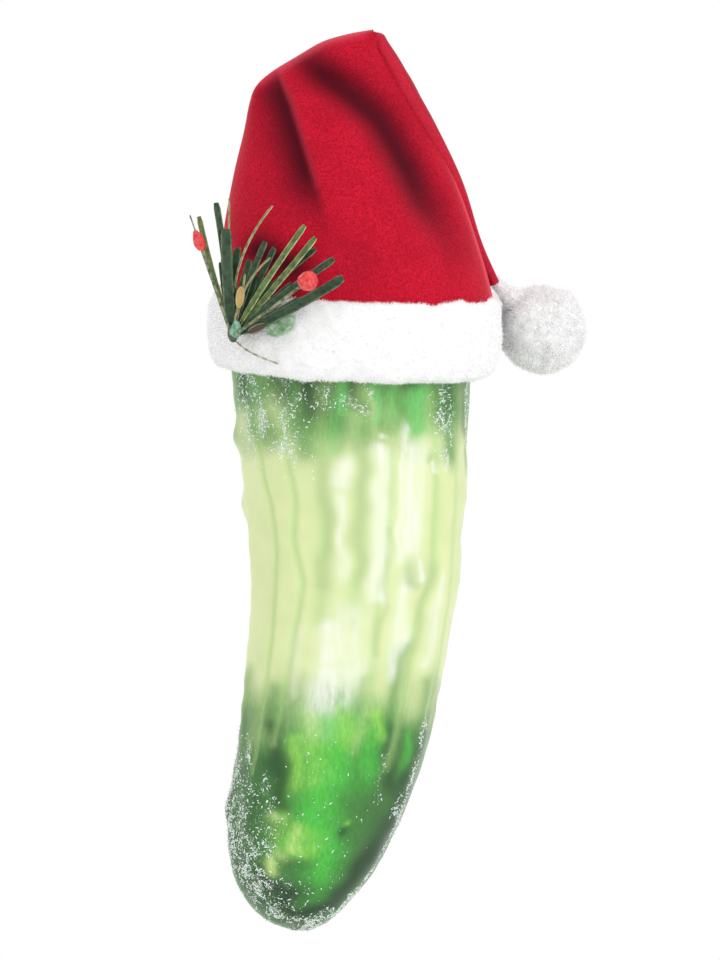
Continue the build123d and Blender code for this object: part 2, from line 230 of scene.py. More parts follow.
def lumps(points, *layers):
    """Swells added up; each layer is (height, wavelength, seed)."""
    return sum(lift * swell(points, wavelength, seed) for lift, wavelength, seed in layers)


def step(low, high, values):
    """0 below low, 1 above high, and a soft slope between; low may be the larger one."""
    t = np.clip((np.asarray(values, float) - low) / (high - low), 0, 1)
    return t * t * (3 - 2 * t)


def curve_through(rows, steps):
    """Rows of numbers with more between them, on a smooth curve through every one of them."""
    rows = np.asarray(rows, float)
    padded = np.vstack([2 * rows[0] - rows[1], rows, 2 * rows[-1] - rows[-2]])
    out = []
    for k in range(len(rows) - 1):
        a, b, c, d = padded[k:k + 4]
        for t in np.arange(steps) / steps:
            out.append(b + (c - a) * t / 2 + (2 * a - 5 * b + 4 * c - d) * t**2 / 2
                       + (3 * b - a - 3 * c + d) * t**3 / 2)
    return np.vstack(out + [rows[-1]])


def even_rows(rows, count, along):
    """Rows spaced evenly by the length of the curve that some of their columns draw."""
    path = np.concatenate([[0], np.cumsum(np.linalg.norm(np.diff(rows[:, along], axis=0), axis=1))])
    places = np.linspace(0, path[-1], count)
    return np.stack([np.interp(places, path, rows[:, k]) for k in range(rows.shape[1])], axis=1)


print("number helpers ready")

# %% [markdown]
# Materials are node trees on the Principled shader. `finish` sets what is the same all over on the
# shader's own sockets. The small functions after it give numbers that vary over the surface: a noise, or a
# mask stored on the mesh. Noise reads Object coordinates, so its grain stays with the piece.

# %% Material helpers
def shader_of(material):
    return material.node_tree.nodes["Principled BSDF"]


def finish(name, colour, roughness, **sockets):
    """A new material; a socket's name has _ in place of a blank."""
    material = bpy.data.materials.new(name)
    material.use_nodes = True
    shader = shader_of(material)
    shader.inputs["Base Color"].default_value = (*colour, 1)
    shader.inputs["Roughness"].default_value = roughness
    for socket, value in sockets.items():
        shader.inputs[socket.replace("_", " ")].default_value = value
    return material


def wire(material, source, target):
    material.node_tree.links.new(source, target)


def noise(material, size, detail=2.0, stretch=(1, 1, 1)):
    """A noise whose grain is `size` millimetres, on Object coordinates."""
    tree = material.node_tree
    place = tree.nodes.new("ShaderNodeTexCoord")
    turn = tree.nodes.new("ShaderNodeMapping")
    turn.inputs["Scale"].default_value = stretch
    grain = tree.nodes.new("ShaderNodeTexNoise")
    grain.inputs["Scale"].default_value = 1 / (size * MM)
    grain.inputs["Detail"].default_value = detail
    wire(material, place.outputs["Object"], turn.inputs["Vector"])
    wire(material, turn.outputs["Vector"], grain.inputs["Vector"])
    return grain.outputs["Fac"]


def ranged(material, source, low, high, to_low=0.0, to_high=1.0):
    """A number stretched from one range to another, and held there."""
    scale = material.node_tree.nodes.new("ShaderNodeMapRange")
    for socket, value in (("From Min", low), ("From Max", high), ("To Min", to_low), ("To Max", to_high)):
        scale.inputs[socket].default_value = value
    wire(material, source, scale.inputs["Value"])
    return scale.outputs["Result"]


def mask(material, name):
    """A number that `mark` stored on the mesh."""
    node = material.node_tree.nodes.new("ShaderNodeAttribute")
    node.attribute_name = name
    return node.outputs["Fac"]


def times(material, a, b):
    """Two numbers multiplied; each is a number or another node's output."""
    node = material.node_tree.nodes.new("ShaderNodeMath")
    node.operation = "MULTIPLY"
    for socket, value in zip(node.inputs, (a, b)):
        if isinstance(value, (int, float)):
            socket.default_value = value
        else:
            wire(material, value, socket)
    return node.outputs[0]


print("number nodes ready")

# %% [markdown]
# Colours are mixed by those numbers. `blended` lays one colour over another by a share, `mottled` does so
# in the patches of a noise, and `coloured` and `bumped` end a recipe at the shader.

# %% Mixing helpers
def pins(sockets, kind):
    """The sockets of one kind: some nodes keep hidden ones of other kinds beside them."""
    return [socket for socket in sockets if socket.type == kind]


def blended(material, share, first, second):
    """A colour between two others; each is a colour or another node's output."""
    node = material.node_tree.nodes.new("ShaderNodeMix")
    node.data_type = "RGBA"
    for socket, value in zip(pins(node.inputs, "RGBA"), (first, second)):
        if isinstance(value, tuple):
            socket.default_value = (*value, 1)
        else:
            wire(material, value, socket)
    wire(material, share, node.inputs["Factor"])
    return pins(node.outputs, "RGBA")[0]


def mottled(material, size, first, second, detail=2.0, stretch=(1, 1, 1), low=0.35, high=0.65, most=1.0):
    """Two colours mixed by a noise, in patches of `size` millimetres."""
    patches = ranged(material, noise(material, size, detail, stretch), low, high, 0.0, most)
    return blended(material, patches, first, second)


def bumped(material, height, distance, strength=1.0):
    """Fine relief, `distance` millimetres high, that only the light sees."""
    node = material.node_tree.nodes.new("ShaderNodeBump")
    node.inputs["Distance"].default_value = distance * MM
    node.inputs["Strength"].default_value = strength
    wire(material, height, node.inputs["Height"])
    wire(material, node.outputs["Normal"], shader_of(material).inputs["Normal"])


def coloured(material, source):
    wire(material, source, shader_of(material).inputs["Base Color"])


print("mixing helpers ready")

# %% [markdown]
# Every piece is tied to the CAD model in the same way: it rides on a body and may stand for a node,
# which is then hidden.

# %% Places of the pieces
def placed(piece, node=None, body="ornament"):
    """Let a piece ride on its body, in place of a CAD node."""
    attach(piece, body)
    if node:
        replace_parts(piece, node)


# %% [markdown]
# The pickle was blown into a mould of two halves: a long body that bends to the left at the tip, with a
# short neck for the cap. It could be turned from a profile and bent, but a grid of rings round a bent axis
# gives clean quads for the relief that follows.

# %% Pickle: body
NECK_TOP, NECK_FOOT, NECK_RADIUS, BORE_RADIUS, BORE_FOOT = -17.0, -26.2, 4.5, 3.5, -29.0
# Slices as (height, bend to the side, radius)
BODY_SLICES = (
    (-25.6, 0.0, 4.0), (-29.5, 0.3, 9.6), (-34.0, 0.6, 13.6), (-40.0, 0.9, 17.0), (-48.0, 0.9, 19.3),
    (-52.0, 1.0, 20.1), (-57.0, 1.2, 19.9), (-65.0, 1.3, 19.3), (-73.0, 1.75, 18.8), (-81.0, 1.65, 18.0),
    (-89.0, 1.6, 17.5), (-97.5, 0.8, 16.9),
    (-108.0, -0.8, 16.5), (-117.0, -2.2, 16.0), (-125.0, -4.2, 15.3), (-132.0, -5.9, 13.9),
    (-138.0, -7.1, 11.8), (-142.8, -7.9, 8.6), (-146.0, -7.9, 5.2), (-147.6, -7.5, 1.6),
)
GLASS_ROWS, GLASS_AROUND, SLICE_STEPS = 320, 240, 12
body = even_rows(curve_through(BODY_SLICES, SLICE_STEPS), GLASS_ROWS, [0, 2])
height, bend, radius = body.T
angle = np.radians(np.arange(GLASS_AROUND) * 360 / GLASS_AROUND - 90)
grid_z = np.repeat(height[:, None], GLASS_AROUND, 1)
grid_r = np.repeat(radius[:, None], GLASS_AROUND, 1)
grid_a = np.repeat(angle[None, :], GLASS_ROWS, 0)


def on_glass(reach):
    """Points round the bent axis, at a distance from it."""
    return np.stack([bend[:, None] + reach * np.cos(grid_a), reach * np.sin(grid_a), grid_z], axis=-1)


flat_points = on_glass(grid_r)
print("glass body", round(height[0] - height[-1], 1), "mm long,", round(2 * radius.max(), 1), "mm thick")

# %% [markdown]
# Wandering grooves run between soft ridges, and warts stand on them. The grooves are lines on the front
# (sideways, height). Each is turned into an angle round the glass, so that it stays on the surface, and the
# other half of the mould mirrors it.

# %% Pickle: lines of relief
FAR = 1e9
# Grooves as (line, depth, width)
GROOVES = (
    (((-15.2, -60), (-13.7, -70.6), (-12.3, -76.8), (-11.5, -82.6), (-11.8, -91.4), (-13.2, -105.4),
      (-15.7, -120.6)), 0.7, 0.7),
    (((-11.1, -60), (-9.3, -70.6), (-8.4, -75), (-8.7, -81.7), (-7.1, -89), (-8.3, -96.1), (-10.5, -108.8),
      (-12, -116)), 0.7, 0.75),
    (((-3.9, -56), (-3.5, -75), (-3.4, -81.7), (-4.6, -95.3)), 0.5, 1.5),
    (((2.7, -56), (2.7, -75), (2.5, -85.1), (1.2, -93)), 0.5, 1.6),
    (((7.6, -60), (7.3, -81.7), (5.6, -92.9), (3.9, -108.8), (1.6, -117)), 0.6, 0.85),
    (((14.2, -58), (15.5, -72), (14.9, -87.5), (12.3, -94.6), (10.1, -107.1), (7.3, -119.7)), 0.7, 1.0),
    (((18.7, -70), (17.7, -88.5), (16.2, -100.3), (13.6, -112)), 0.4, 0.9),
)
# Warts as (height, angle round the glass, height of the bump); the front is at -90
WARTS = (
    (-66, -45, 0.8), (-87, -55, 0.9), (-115, -60, 0.7), (-64.5, 181, 0.9), (-76, 177, 0.8), (-127, 186, 0.6),
    (-75, -10, 0.5), (-89, -12, 0.5), *((-70.0 - 7.5 * k, 20 + 67 * k % 140, 0.9) for k in range(8)),
)
WART_SPREAD, RIPPLE, RIDGES = 2.1, 0.12, 10


def rolled(x, z):
    """A point of the front, as its angle from the middle of the front and its height."""
    share = np.clip((x - np.interp(-z, -height, bend)) / np.interp(-z, -height, radius), -1, 1)
    return math.asin(share), z


def turn(a, b):
    """Signed angle from b to a, between -pi and pi."""
    return (a - b + np.pi) % (2 * np.pi) - np.pi


# Both halves of the mould alike: the back is unrolled as a mirror of the front
front_way = grid_r * turn(np.where(np.sin(grid_a) > 0, -grid_a, grid_a), -np.pi / 2)
unrolled = np.stack([front_way, grid_z], axis=-1)


def stroke(line, width, places=unrolled):
    """1 on a line drawn on the front, falling off over a width; a line of one point is a dot."""
    points = [
        np.stack([grid_r * side, np.full_like(grid_r, z)], axis=-1) for side, z in (rolled(*p) for p in line)
    ]
    best = np.full(grid_z.shape, FAR)
    for a, b in zip(points, points[1:] or points):
        way = b - a
        share = ((places - a) * way).sum(-1) / np.maximum((way * way).sum(-1), 1 / FAR)
        gap = places - a - np.clip(share, 0, 1)[..., None] * way
        best = np.minimum(best, np.linalg.norm(gap, axis=-1))
    return np.exp(-((best / width) ** 2))


print("relief lines", len(GROOVES), "warts", len(WARTS))

# %% [markdown]
# The rings are pushed out and in by all of that at once. Grooves are narrow, ridges wide, and a fine
# uneven swell keeps the reflections from running dead straight, as they never do on blown glass.

# %% Pickle: mesh
RELIEF_TOP, RELIEF_FOOT, NECK_GAP = (-30, -46), (-147.5, -134), 0.4
SLOW_WANDER, SLOW_PERIOD, QUICK_WANDER, QUICK_PERIOD = 0.35, 9.0, 0.25, 4.3
GROOVE_CUT, BANK_LIFT, BANK_SPREAD = 0.5, 0.2, 2.8
GLASS_LUMPS = (0.10, 14, 3), (0.06, 5, 4)
relief_fade = (step(*RELIEF_TOP, height) * step(*RELIEF_FOOT, height))[:, None]
wander = SLOW_WANDER * np.sin(grid_z / SLOW_PERIOD)
wander += QUICK_WANDER * np.sin(grid_z / QUICK_PERIOD + 2 * np.cos(grid_a))
relief = RIPPLE * np.sin(RIDGES * grid_a + wander) + lumps(flat_points, *GLASS_LUMPS)
for line, depth, width in GROOVES:
    relief += depth * (BANK_LIFT * stroke(line, BANK_SPREAD * width) - GROOVE_CUT * stroke(line, width))
wart = np.zeros_like(grid_z)
for wart_z, wart_turn, bump in WARTS:
    away = np.hypot(turn(grid_a, math.radians(wart_turn)) * grid_r, grid_z - wart_z)
    wart = np.maximum(wart, bump * np.exp(-((away / WART_SPREAD) ** 2)))
full_r = grid_r + relief * relief_fade + wart


def level_ring(z, r):
    return np.stack([r * np.cos(angle), r * np.sin(angle), np.full(GLASS_AROUND, z)], axis=-1)


neck_rings = [
    level_ring(BORE_FOOT, BORE_RADIUS), level_ring(NECK_TOP, BORE_RADIUS),
    level_ring(NECK_TOP, NECK_RADIUS), level_ring(NECK_FOOT, NECK_RADIUS),
]
below_neck = height < NECK_FOOT - NECK_GAP
pickle = tube_from("pickle", np.concatenate([neck_rings, on_glass(full_r)[below_neck]]))
print("pickle faces", len(pickle.data.polygons), "sides", round(full_r.max(), 2), "mm at most")

# %% [markdown]
# The glass is lacquered: pale yellow green in the middle, where the light comes through, green towards
# both ends, with a bright patch low down, a dark tip, and dark lines in the grooves. The bright patch is
# green lacquer with a painted glow of light through the glass; painted shade darkens the top under the
# band, both sides and the tip, and painted highlights run down the ridges. A painter lays such patches on
# with a brush, so they are written here as strokes on the front: a line in millimetres (sideways, height),
# a width and a strength. The last kind is where the frost lies thick.

# %% Pickle: brush strokes
STROKES = {
    "leaf": (
        (((-16.5, -54), (-16, -61)), 3.2, 0.8), (((-9.5, -56), (-6.5, -66)), 3.0, 0.85),
        (((-2.5, -58), (-1, -65)), 2.4, 0.5), (((2.5, -56), (3, -66.5)), 1.9, 0.85),
        (((5.5, -56), (7, -62)), 1.8, 0.7), (((11.5, -55), (10.5, -60)), 2.4, 0.75),
        (((16.5, -55), (17.5, -66)), 2.8, 0.8), (((20.5, -55), (20.5, -68)), 1.6, 0.7),
        # Dots beside the warts are painted shade.
        (((10.6, -87.8),), 1.1, 0.5), (((14.0, -67.4),), 1.0, 0.5), (((1.5, -96.0),), 1.3, 0.22),
        (((7.8, -103.6),), 0.9, 0.45), (((-16.5, -106), (-17.5, -114)), 2.8, 0.5),
        (((-12, -107), (-12.5, -114)), 1.9, 0.45), (((-8, -107), (-8.5, -114)), 1.9, 0.4),
        (((3.5, -105), (2, -114)), 1.2, 0.45), (((9.5, -101), (7.5, -113)), 1.8, 0.75),
        (((13.5, -107), (12.5, -114)), 2.0, 0.6),
    ),
    "mint": (
        (((0, -53), (-0.5, -60)), 1.1, 0.9), (((-2.2, -60), (-2.5, -66)), 1.6, 0.4),
        (((5.2, -54), (5.4, -62)), 0.8, 0.7), (((12.5, -55), (12, -62)), 2.3, 0.9),
        (((8, -54), (7.8, -61)), 1.0, 0.6),
    ),
    # Green lacquer with a painted glow of light through the glass, low down.
    "bright": (
        (((-2.4, -115), (-3.2, -122)), 5.6, 1.0), (((-3.5, -121), (-5.5, -131)), 5.2, 1.0),
        (((-3.8, -131), (-3.6, -138.5)), 3.4, 0.95), (((4.5, -114), (3.5, -121)), 2.8, 0.75),
        (((10.4, -115), (10, -120)), 1.1, 0.7),
    ),
    # Yellow green at the top of the same painted glow.
    "lime": (
        (((-6.5, -111.5), (-5.5, -117.5)), 1.8, 0.75), (((5.0, -111), (5.6, -115)), 1.4, 0.85),
        (((-7.8, -115.5), (-8.3, -122.5)), 1.7, 0.8), (((-5.0, -115.5), (-5.4, -121.5)), 2.4, 0.5),
        (((-1, -111.5), (1, -115)), 2.4, 0.6), (((-9, -131.5), (-6.5, -133)), 1.8, 0.7),
        (((0.4, -129.4),), 0.6, 0.8),
        (((-10.5, -127), (-11.5, -134)), 1.6, 0.45),
    ),
    # Painted shade: the band's shadow across the top, and darker patches along both sides and round the tip.
    "shade": (
        (((-7, -52), (-5, -58.5)), 3.2, 0.95), (((1.6, -52), (1.8, -59)), 1.5, 0.85),
        (((-17.5, -50), (-17, -57)), 2.2, 0.75),
        (((-11.5, -52), (-10.5, -57)), 2.6, 0.6), (((9.5, -54.6), (12, -55.4)), 1.2, 0.6),
        (((17.5, -54), (17.5, -59)), 2.0, 0.6),
        (((20, -55), (20, -64)), 1.2, 0.45), (((-12.3, -113), (-11.3, -118), (-10.5, -126)), 1.9, 0.75),
        (((-17, -112), (-18, -122)), 1.6, 0.4), (((7.5, -113), (7.8, -120), (8.5, -126)), 1.7, 0.6),
        (((8.5, -128.5), (5.2, -133.8), (1.8, -138.6), (-2.0, -142.6), (-7.5, -145.2)), 3.4, 1.0),
        (((10, -122), (8, -128)), 2.2, 0.75), (((-14.2, -138), (-11.5, -141.6), (-7.5, -144.4)), 1.8, 1.0),
        (((-18.5, -115), (-19.6, -127), (-17.5, -136.5), (-12, -144)), 3.6, 0.6),
        (((13.6, -113), (10.8, -123), (7.0, -132)), 2.4, 0.5),
        (((-0.5, -131),), 1.2, 0.8),
        (((-8.8, -135.5),), 1.6, 0.6), (((11.5, -118), (10, -127)), 2.0, 0.45),
        (((-15.5, -126), (-16.5, -132)), 1.8, 0.35),
    ),
    "lemon": (
        (((-12.2, -136.3),), 1.3, 0.95), (((-10.5, -134.4),), 1.6, 0.5), (((-12.3, -129.3),), 1.2, 0.6),
        (((-8.4, -132.3),), 1.1, 0.6), (((-5.8, -113),), 1.1, 0.5),
    ),
    "dusk": (
        (((-3.7, -69), (-3.5, -80), (-3.8, -89)), 1.5, 0.7), (((2.6, -66), (2.6, -76), (2.3, -87)), 1.7, 0.8),
        (((7.4, -80), (6.4, -90), (5.0, -101)), 0.7, 0.5),
        (((14.5, -86), (12.6, -95), (10.4, -105)), 1.3, 0.55),
        (((11, -86.5), (12.2, -88)), 1.4, 0.5), (((-8, -106), (-6, -111)), 2.2, 0.4),
    ),
    # Painted highlights: white streaks down the ridges where lamps would reflect, and glints on warts.
    "milk": (
        (((-0.6, -69), (-0.6, -73)), 1.3, 0.7), (((-0.8, -75), (-0.8, -87)), 0.9, 0.55),
        (((6.0, -68), (5.9, -80), (5.0, -92)), 1.5, 0.75), (((9.9, -62), (9.6, -74), (9.0, -86)), 0.7, 0.8),
        (((11.6, -67), (11.2, -76), (10.6, -84)), 2.4, 0.75), (((10.2, -89), (9.0, -99)), 1.5, 0.65),
        (((16.3, -88), (15.6, -93), (14, -101)), 1.3, 0.6), (((0.6, -95), (0.4, -102)), 3.2, 0.5),
        (((-2.8, -97), (-2.2, -101)), 2.2, 0.85), (((-2.5, -104), (-4.2, -110.5)), 2.9, 0.9),
        (((1, -103.5), (0, -108)), 2.4, 0.7),
        (((9, -97), (7.9, -104)), 1.4, 0.6), (((-7.8, -97), (-8.8, -107)), 1.2, 0.3),
        (((12.9, -86.2),), 0.8, 0.9),
        (((14.9, -68.4), (15.2, -71)), 0.5, 0.95), (((6.8, -64.5),), 0.6, 0.85),
        (((17, -67), (16.5, -70.5)), 0.35, 0.8),
    ),
    "thick": (
        (((-16, -52), (-14.2, -62)), 1.0, 1.0), (((-17.5, -52), (-16, -66)), 3.2, 0.35),
        (((-11, -52), (-9.5, -66)), 3.6, 0.32),
        (((-10.6, -61.5), (-10.3, -67)), 0.6, 1.0), (((-3.5, -53), (-3.8, -58)), 1.6, 0.5),
        (((0.5, -58.5), (3.2, -60)), 1.1, 0.55),
        (((4.2, -55), (4.4, -57)), 0.8, 0.5), (((16.5, -54), (16.8, -63)), 1.7, 0.7),
        (((16, -63), (16, -70)), 1.2, 0.25),
        (((20.6, -54), (20.4, -66)), 0.7, 0.7), (((-18.2, -114), (-18.8, -123)), 1.3, 0.95),
        (((-16.5, -116), (-16.5, -124)), 1.5, 0.4),
        (((-19, -121), (-18.5, -131), (-14.8, -140.5)), 4.4, 0.8), (((-14, -124), (-13.5, -134)), 2.4, 0.35),
        (((-16.5, -138), (-12, -144.5), (-7.5, -147), (-2.5, -145.5), (1.5, -141.5)), 1.3, 1.0),
        (((8.8, -126), (9.4, -131)), 1.3, 0.6),
        (((13.3, -112), (10.6, -124), (6.6, -134), (2.6, -140)), 0.8, 0.7),
        (((6.5, -118), (5.5, -125)), 1.2, 0.12), (((-6, -118), (-4, -128), (-4, -138)), 5.0, 0.04),
    ),
}
print("strokes", {kind: len(strokes) for kind, strokes in STROKES.items()})

# %% [markdown]
# The strokes and the borders of the green are stored on the mesh as masks, one number for every point,
# and the material mixes its colours by them, so the paint stays on the glass from every side. A swell
# shifts all of them a little, because no brush runs dead straight.

# %% Pickle: masks for the lacquer and the frost
BRUSH_SIDEWAYS, BRUSH_UP, PATCHES = (0.55, 6, 8), (0.9, 7, 9), (1.0, 11, 10)
# Borders of the green as (start, full, patchy wander, wander from ridge to ridge, its phase)
BORDERS = {
    "upper": (-69, -57, 2.4, 1.6, 0.6),
    "lower": (-100.5, -117.5, 2.2, 0.8, 2.0),
    "deep": (-109.5, -121, 2.2, 0.0, 0.0),
}
GROOVE_DARK, CLUMPS, CLUMP_RANGE = 0.3, ((1.0, 2.6, 21), (0.5, 6, 22)), (-0.5, 0.9)
FROST_LEAST, FROST_TOP = 0.25, (-45, -50)
brushed = unrolled + np.stack([lumps(flat_points, BRUSH_SIDEWAYS), lumps(flat_points, BRUSH_UP)], axis=-1)
layers = {
    kind: np.max([share * stroke(line, width, brushed) for line, width, share in strokes], axis=0)
    for kind, strokes in STROKES.items()
}
patches = lumps(flat_points, PATCHES)
borders = {
    name: step(start, full, grid_z + wide * patches + narrow * np.sin(RIDGES * grid_a + phase))
    for name, (start, full, wide, narrow, phase) in BORDERS.items()
}
groove = np.max([min(1, depth + GROOVE_DARK) * stroke(line, width) for line, depth, width in GROOVES], axis=0)
clumps = FROST_LEAST + (1 - FROST_LEAST) * step(*CLUMP_RANGE, lumps(flat_points, *CLUMPS))
masks = {
    **borders, "green": np.maximum(borders["upper"], borders["lower"]), "groove": groove * relief_fade,
    "frost": layers.pop("thick") * clumps * step(*FROST_TOP, grid_z), **layers,
}
for name, values in masks.items():
    kept = values[below_neck]
    mark(pickle, name, np.concatenate([np.repeat(kept[:1], len(neck_rings), 0), kept]))
print("masks", ", ".join(masks))

# %% [markdown]
# The lacquer is one material. It starts from the pale ground and lays one colour after another over it,
# each by its own mask, then painted highlights, the white streaks down the ridges and the glints on warts
# where lamps would reflect, then the frosted film and fine fibres in the green. The real glass is frosted
# and its inside isn't seen, so it is painted, and a thin clear coat gives it the gloss.

# %% Pickle: lacquered glass
PALE, OLIVE, MILK, SUGAR = (0.74, 0.83, 0.43), (0.62, 0.73, 0.37), (0.92, 0.95, 0.86), (0.88, 0.93, 0.88)
LEAF, FERN, FIBRE = (0.115, 0.33, 0.08), (0.06, 0.18, 0.05), (0.035, 0.10, 0.035)
# The shade layer is painted shade; bright and lime are green lacquer with a painted glow.
LAYERS = (
    ("upper", 0.86, LEAF), ("lower", 0.85, LEAF), ("deep", 0.95, FERN), ("leaf", 0.9, LEAF),
    ("mint", 1.0, (0.19, 0.62, 0.17)), ("bright", 1.0, (0.09, 0.57, 0.07)), ("lime", 0.9, (0.34, 0.75, 0.12)),
    ("shade", 0.95, (0.022, 0.055, 0.025)), ("lemon", 1.0, (0.66, 0.87, 0.30)),
    ("groove", 0.5, (0.40, 0.64, 0.22)), ("dusk", 0.8, (0.44, 0.56, 0.27)),
)
RUN_STRETCH, FIBRE_STRETCH, SUGAR_SHARE = (1, 1, 0.12), (1, 1, 0.35), 0.6
glass = finish("lacquered_glass", PALE, 0.34, Coat_Weight=0.08, Coat_Roughness=0.12, Specular_IOR_Level=0.12)
paint = mottled(glass, 6, PALE, OLIVE, high=0.75, most=0.45)
for name, share, colour in LAYERS:
    paint = blended(glass, times(glass, mask(glass, name), share), paint, colour)
# Painted highlights, broken up along their length by a noise.
runs = ranged(glass, noise(glass, 1.3, 2.0, RUN_STRETCH), 0.3, 0.65, 0.55, 1.0)
paint = blended(glass, times(glass, mask(glass, "milk"), runs), paint, MILK)
sugar = ranged(glass, noise(glass, 0.45, 1.0), 0.5, 0.6)
paint = blended(glass, times(glass, sugar, times(glass, mask(glass, "frost"), SUGAR_SHARE)), paint, SUGAR)
fibres = ranged(glass, noise(glass, 0.5, 3.0, FIBRE_STRETCH), 0.3, 0.7, 0.0, 0.3)
coloured(glass, blended(glass, times(glass, fibres, mask(glass, "green")), paint, FIBRE))
bumped(glass, noise(glass, 0.8, 3.0), 0.05, 0.3)
pickle.data.materials.append(glass)
placed(pickle, "pickle_glass")
print("glass paint layers", len(LAYERS) + 2)

# %% [markdown]
# The frost is real glitter: thousands of tiny crystals stuck to the lacquer. A Geometry Nodes tree
# scatters eight sided grains over the pickle, thick where the frost mask is high, each with its own
# size and turn. The same kind of tree, with three sided hairs in place of the grains, makes plush.

# %% Scatter trees
GROWTH_SIZES = (0.55, 1.35)
TREE_INPUTS = (("Density", "Float"), ("Length", "Float"), ("Thickness", "Float"), ("Lean", "Float"),
               ("Seed", "Int"), ("Finish", "Material"))


def scatter_tree(name, mask_name, hair):
    """Points on faces, thick where a mask is high, each with a grain or a hair."""
    tree = bpy.data.node_groups.new(name, "GeometryNodeTree")
    face = tree.interface
    face.new_socket("Geometry", in_out="INPUT", socket_type="NodeSocketGeometry")
    ids = {
        label: face.new_socket(label, in_out="INPUT", socket_type=f"NodeSocket{kind}").identifier
        for label, kind in TREE_INPUTS
    }
    face.new_socket("Geometry", in_out="OUTPUT", socket_type="NodeSocketGeometry")

    def add(kind, values=(), **settings):
        """A node with its settings and the values of its inputs."""
        node = tree.nodes.new(kind)
        for setting, value in settings.items():
            setattr(node, setting, value)
        for socket, value in dict(values).items():
            node.inputs[socket].default_value = value
        return node

    given, result = add("NodeGroupInput").outputs, add("NodeGroupOutput").inputs
    thick = add("GeometryNodeInputNamedAttribute", {"Name": mask_name}, data_type="FLOAT")
    amount = add("ShaderNodeMath", operation="MULTIPLY")
    scatter = add("GeometryNodeDistributePointsOnFaces")
    if hair:
        shape = add("GeometryNodeMeshCone",
                    {"Vertices": 3, "Radius Top": 0.0, "Radius Bottom": 1.0, "Depth": 1.0})
    else:
        shape = add("GeometryNodeMeshUVSphere", {"Segments": 4, "Rings": 2, "Radius": 1.0})
    size = add("FunctionNodeRandomValue", data_type="FLOAT")
    for socket, value in zip(pins(size.inputs, "VALUE"), GROWTH_SIZES):
        socket.default_value = value
    long = add("ShaderNodeMath", operation="MULTIPLY")
    scale = add("ShaderNodeCombineXYZ")
    place = add("GeometryNodeInstanceOnPoints")
    lean = add("FunctionNodeRandomValue", data_type="FLOAT_VECTOR")
    spread = add("ShaderNodeCombineXYZ")
    back = add("ShaderNodeVectorMath", {"Scale": -1.0}, operation="SCALE")
    tilt = add("GeometryNodeRotateInstances")
    real = add("GeometryNodeRealizeInstances")
    dress = add("GeometryNodeSetMaterial")
    least, most = pins(lean.inputs, "VECTOR")[:2]
    for source, target in (
        (thick.outputs["Attribute"], amount.inputs[0]), (given["Density"], amount.inputs[1]),
        (given["Geometry"], scatter.inputs["Mesh"]), (amount.outputs[0], scatter.inputs["Density"]),
        (given["Seed"], scatter.inputs["Seed"]),
        (pins(size.outputs, "VALUE")[0], long.inputs[0]), (given["Length"], long.inputs[1]),
        (given["Thickness"], scale.inputs["X"]), (given["Thickness"], scale.inputs["Y"]),
        (long.outputs[0], scale.inputs["Z"]),
        (scatter.outputs["Points"], place.inputs["Points"]),
        (scatter.outputs["Rotation"], place.inputs["Rotation"]),
        (shape.outputs["Mesh"], place.inputs["Instance"]), (scale.outputs["Vector"], place.inputs["Scale"]),
        *((given["Lean"], spread.inputs[axis]) for axis in "XYZ"), (spread.outputs["Vector"], back.inputs[0]),
        (back.outputs["Vector"], least), (spread.outputs["Vector"], most),
        (place.outputs["Instances"], tilt.inputs["Instances"]),
        (pins(lean.outputs, "VECTOR")[0], tilt.inputs["Rotation"]),
        (tilt.outputs["Instances"], real.inputs["Geometry"]),
        (real.outputs["Geometry"], dress.inputs["Geometry"]),
        (given["Finish"], dress.inputs["Material"]), (dress.outputs["Geometry"], result["Geometry"]),
    ):
        tree.links.new(source, target)
    return tree, ids


print("tree inputs", ", ".join(label for label, _ in TREE_INPUTS))

# %% [markdown]
# A tree works as a modifier. Its inputs are set by their identifiers before the piece is first evaluated.
# The result is then turned into a plain mesh of its own, and the modifier is taken off again.

# %% Growing on a piece
def grown(source, kind, name, material, density, length, thickness, lean, seed):
    """What a scatter tree grows on a piece, as a plain mesh of its own; density is per square millimetre."""
    tree, ids = kind
    growth = source.modifiers.new("growth", "NODES")
    growth.node_group = tree
    for label, value in (("Density", density / MM**2), ("Length", length * MM), ("Thickness", thickness * MM),
                         ("Lean", lean), ("Seed", seed), ("Finish", material)):
        growth[ids[label]] = value
    graph = bpy.context.evaluated_depsgraph_get()
    mesh = bpy.data.meshes.new_from_object(source.evaluated_get(graph), depsgraph=graph)
    source.modifiers.remove(growth)
    piece = bpy.data.objects.new(name, mesh)
    mesh.name = name
    bpy.context.scene.collection.objects.link(piece)
    print(name, "triangles", sum(len(p.vertices) - 2 for p in mesh.polygons))
    return piece


print("pile lengths vary from", GROWTH_SIZES[0], "to", GROWTH_SIZES[1], "times")

# %% [markdown]
# Two sizes of crystal lie on the glass: flakes that glint one by one, and a fine dust between them.

# %% Frost
FROST = {
    "frost_flakes": dict(density=6.0, length=0.42, thickness=0.14, lean=math.pi, seed=5),
    "frost_dust": dict(density=13.0, length=0.13, thickness=0.08, lean=math.pi, seed=6),
}
crystals = scatter_tree("crystals", "frost", hair=False)
glitter = finish("glitter_frost", (0.90, 0.95, 0.92), 0.25, Specular_IOR_Level=0.6)
coloured(glitter, mottled(glitter, 0.7, (0.62, 0.80, 0.66), (0.97, 0.98, 0.97), low=0.3, high=0.7))
for name, recipe in FROST.items():
    placed(grown(pickle, crystals, name, glitter, **recipe))

# %% [markdown]
# The band is a tube of deep white plush, about half an inch wide, tilted forward and to the right. Its
# body is a ring with a rounded section and a soft uneven swell; the pile stands on it as hairs of half a
# millimetre, except on the side that touches the glass. A hair particle system would look as good, but the
# export would lose it, so a scatter tree makes them.

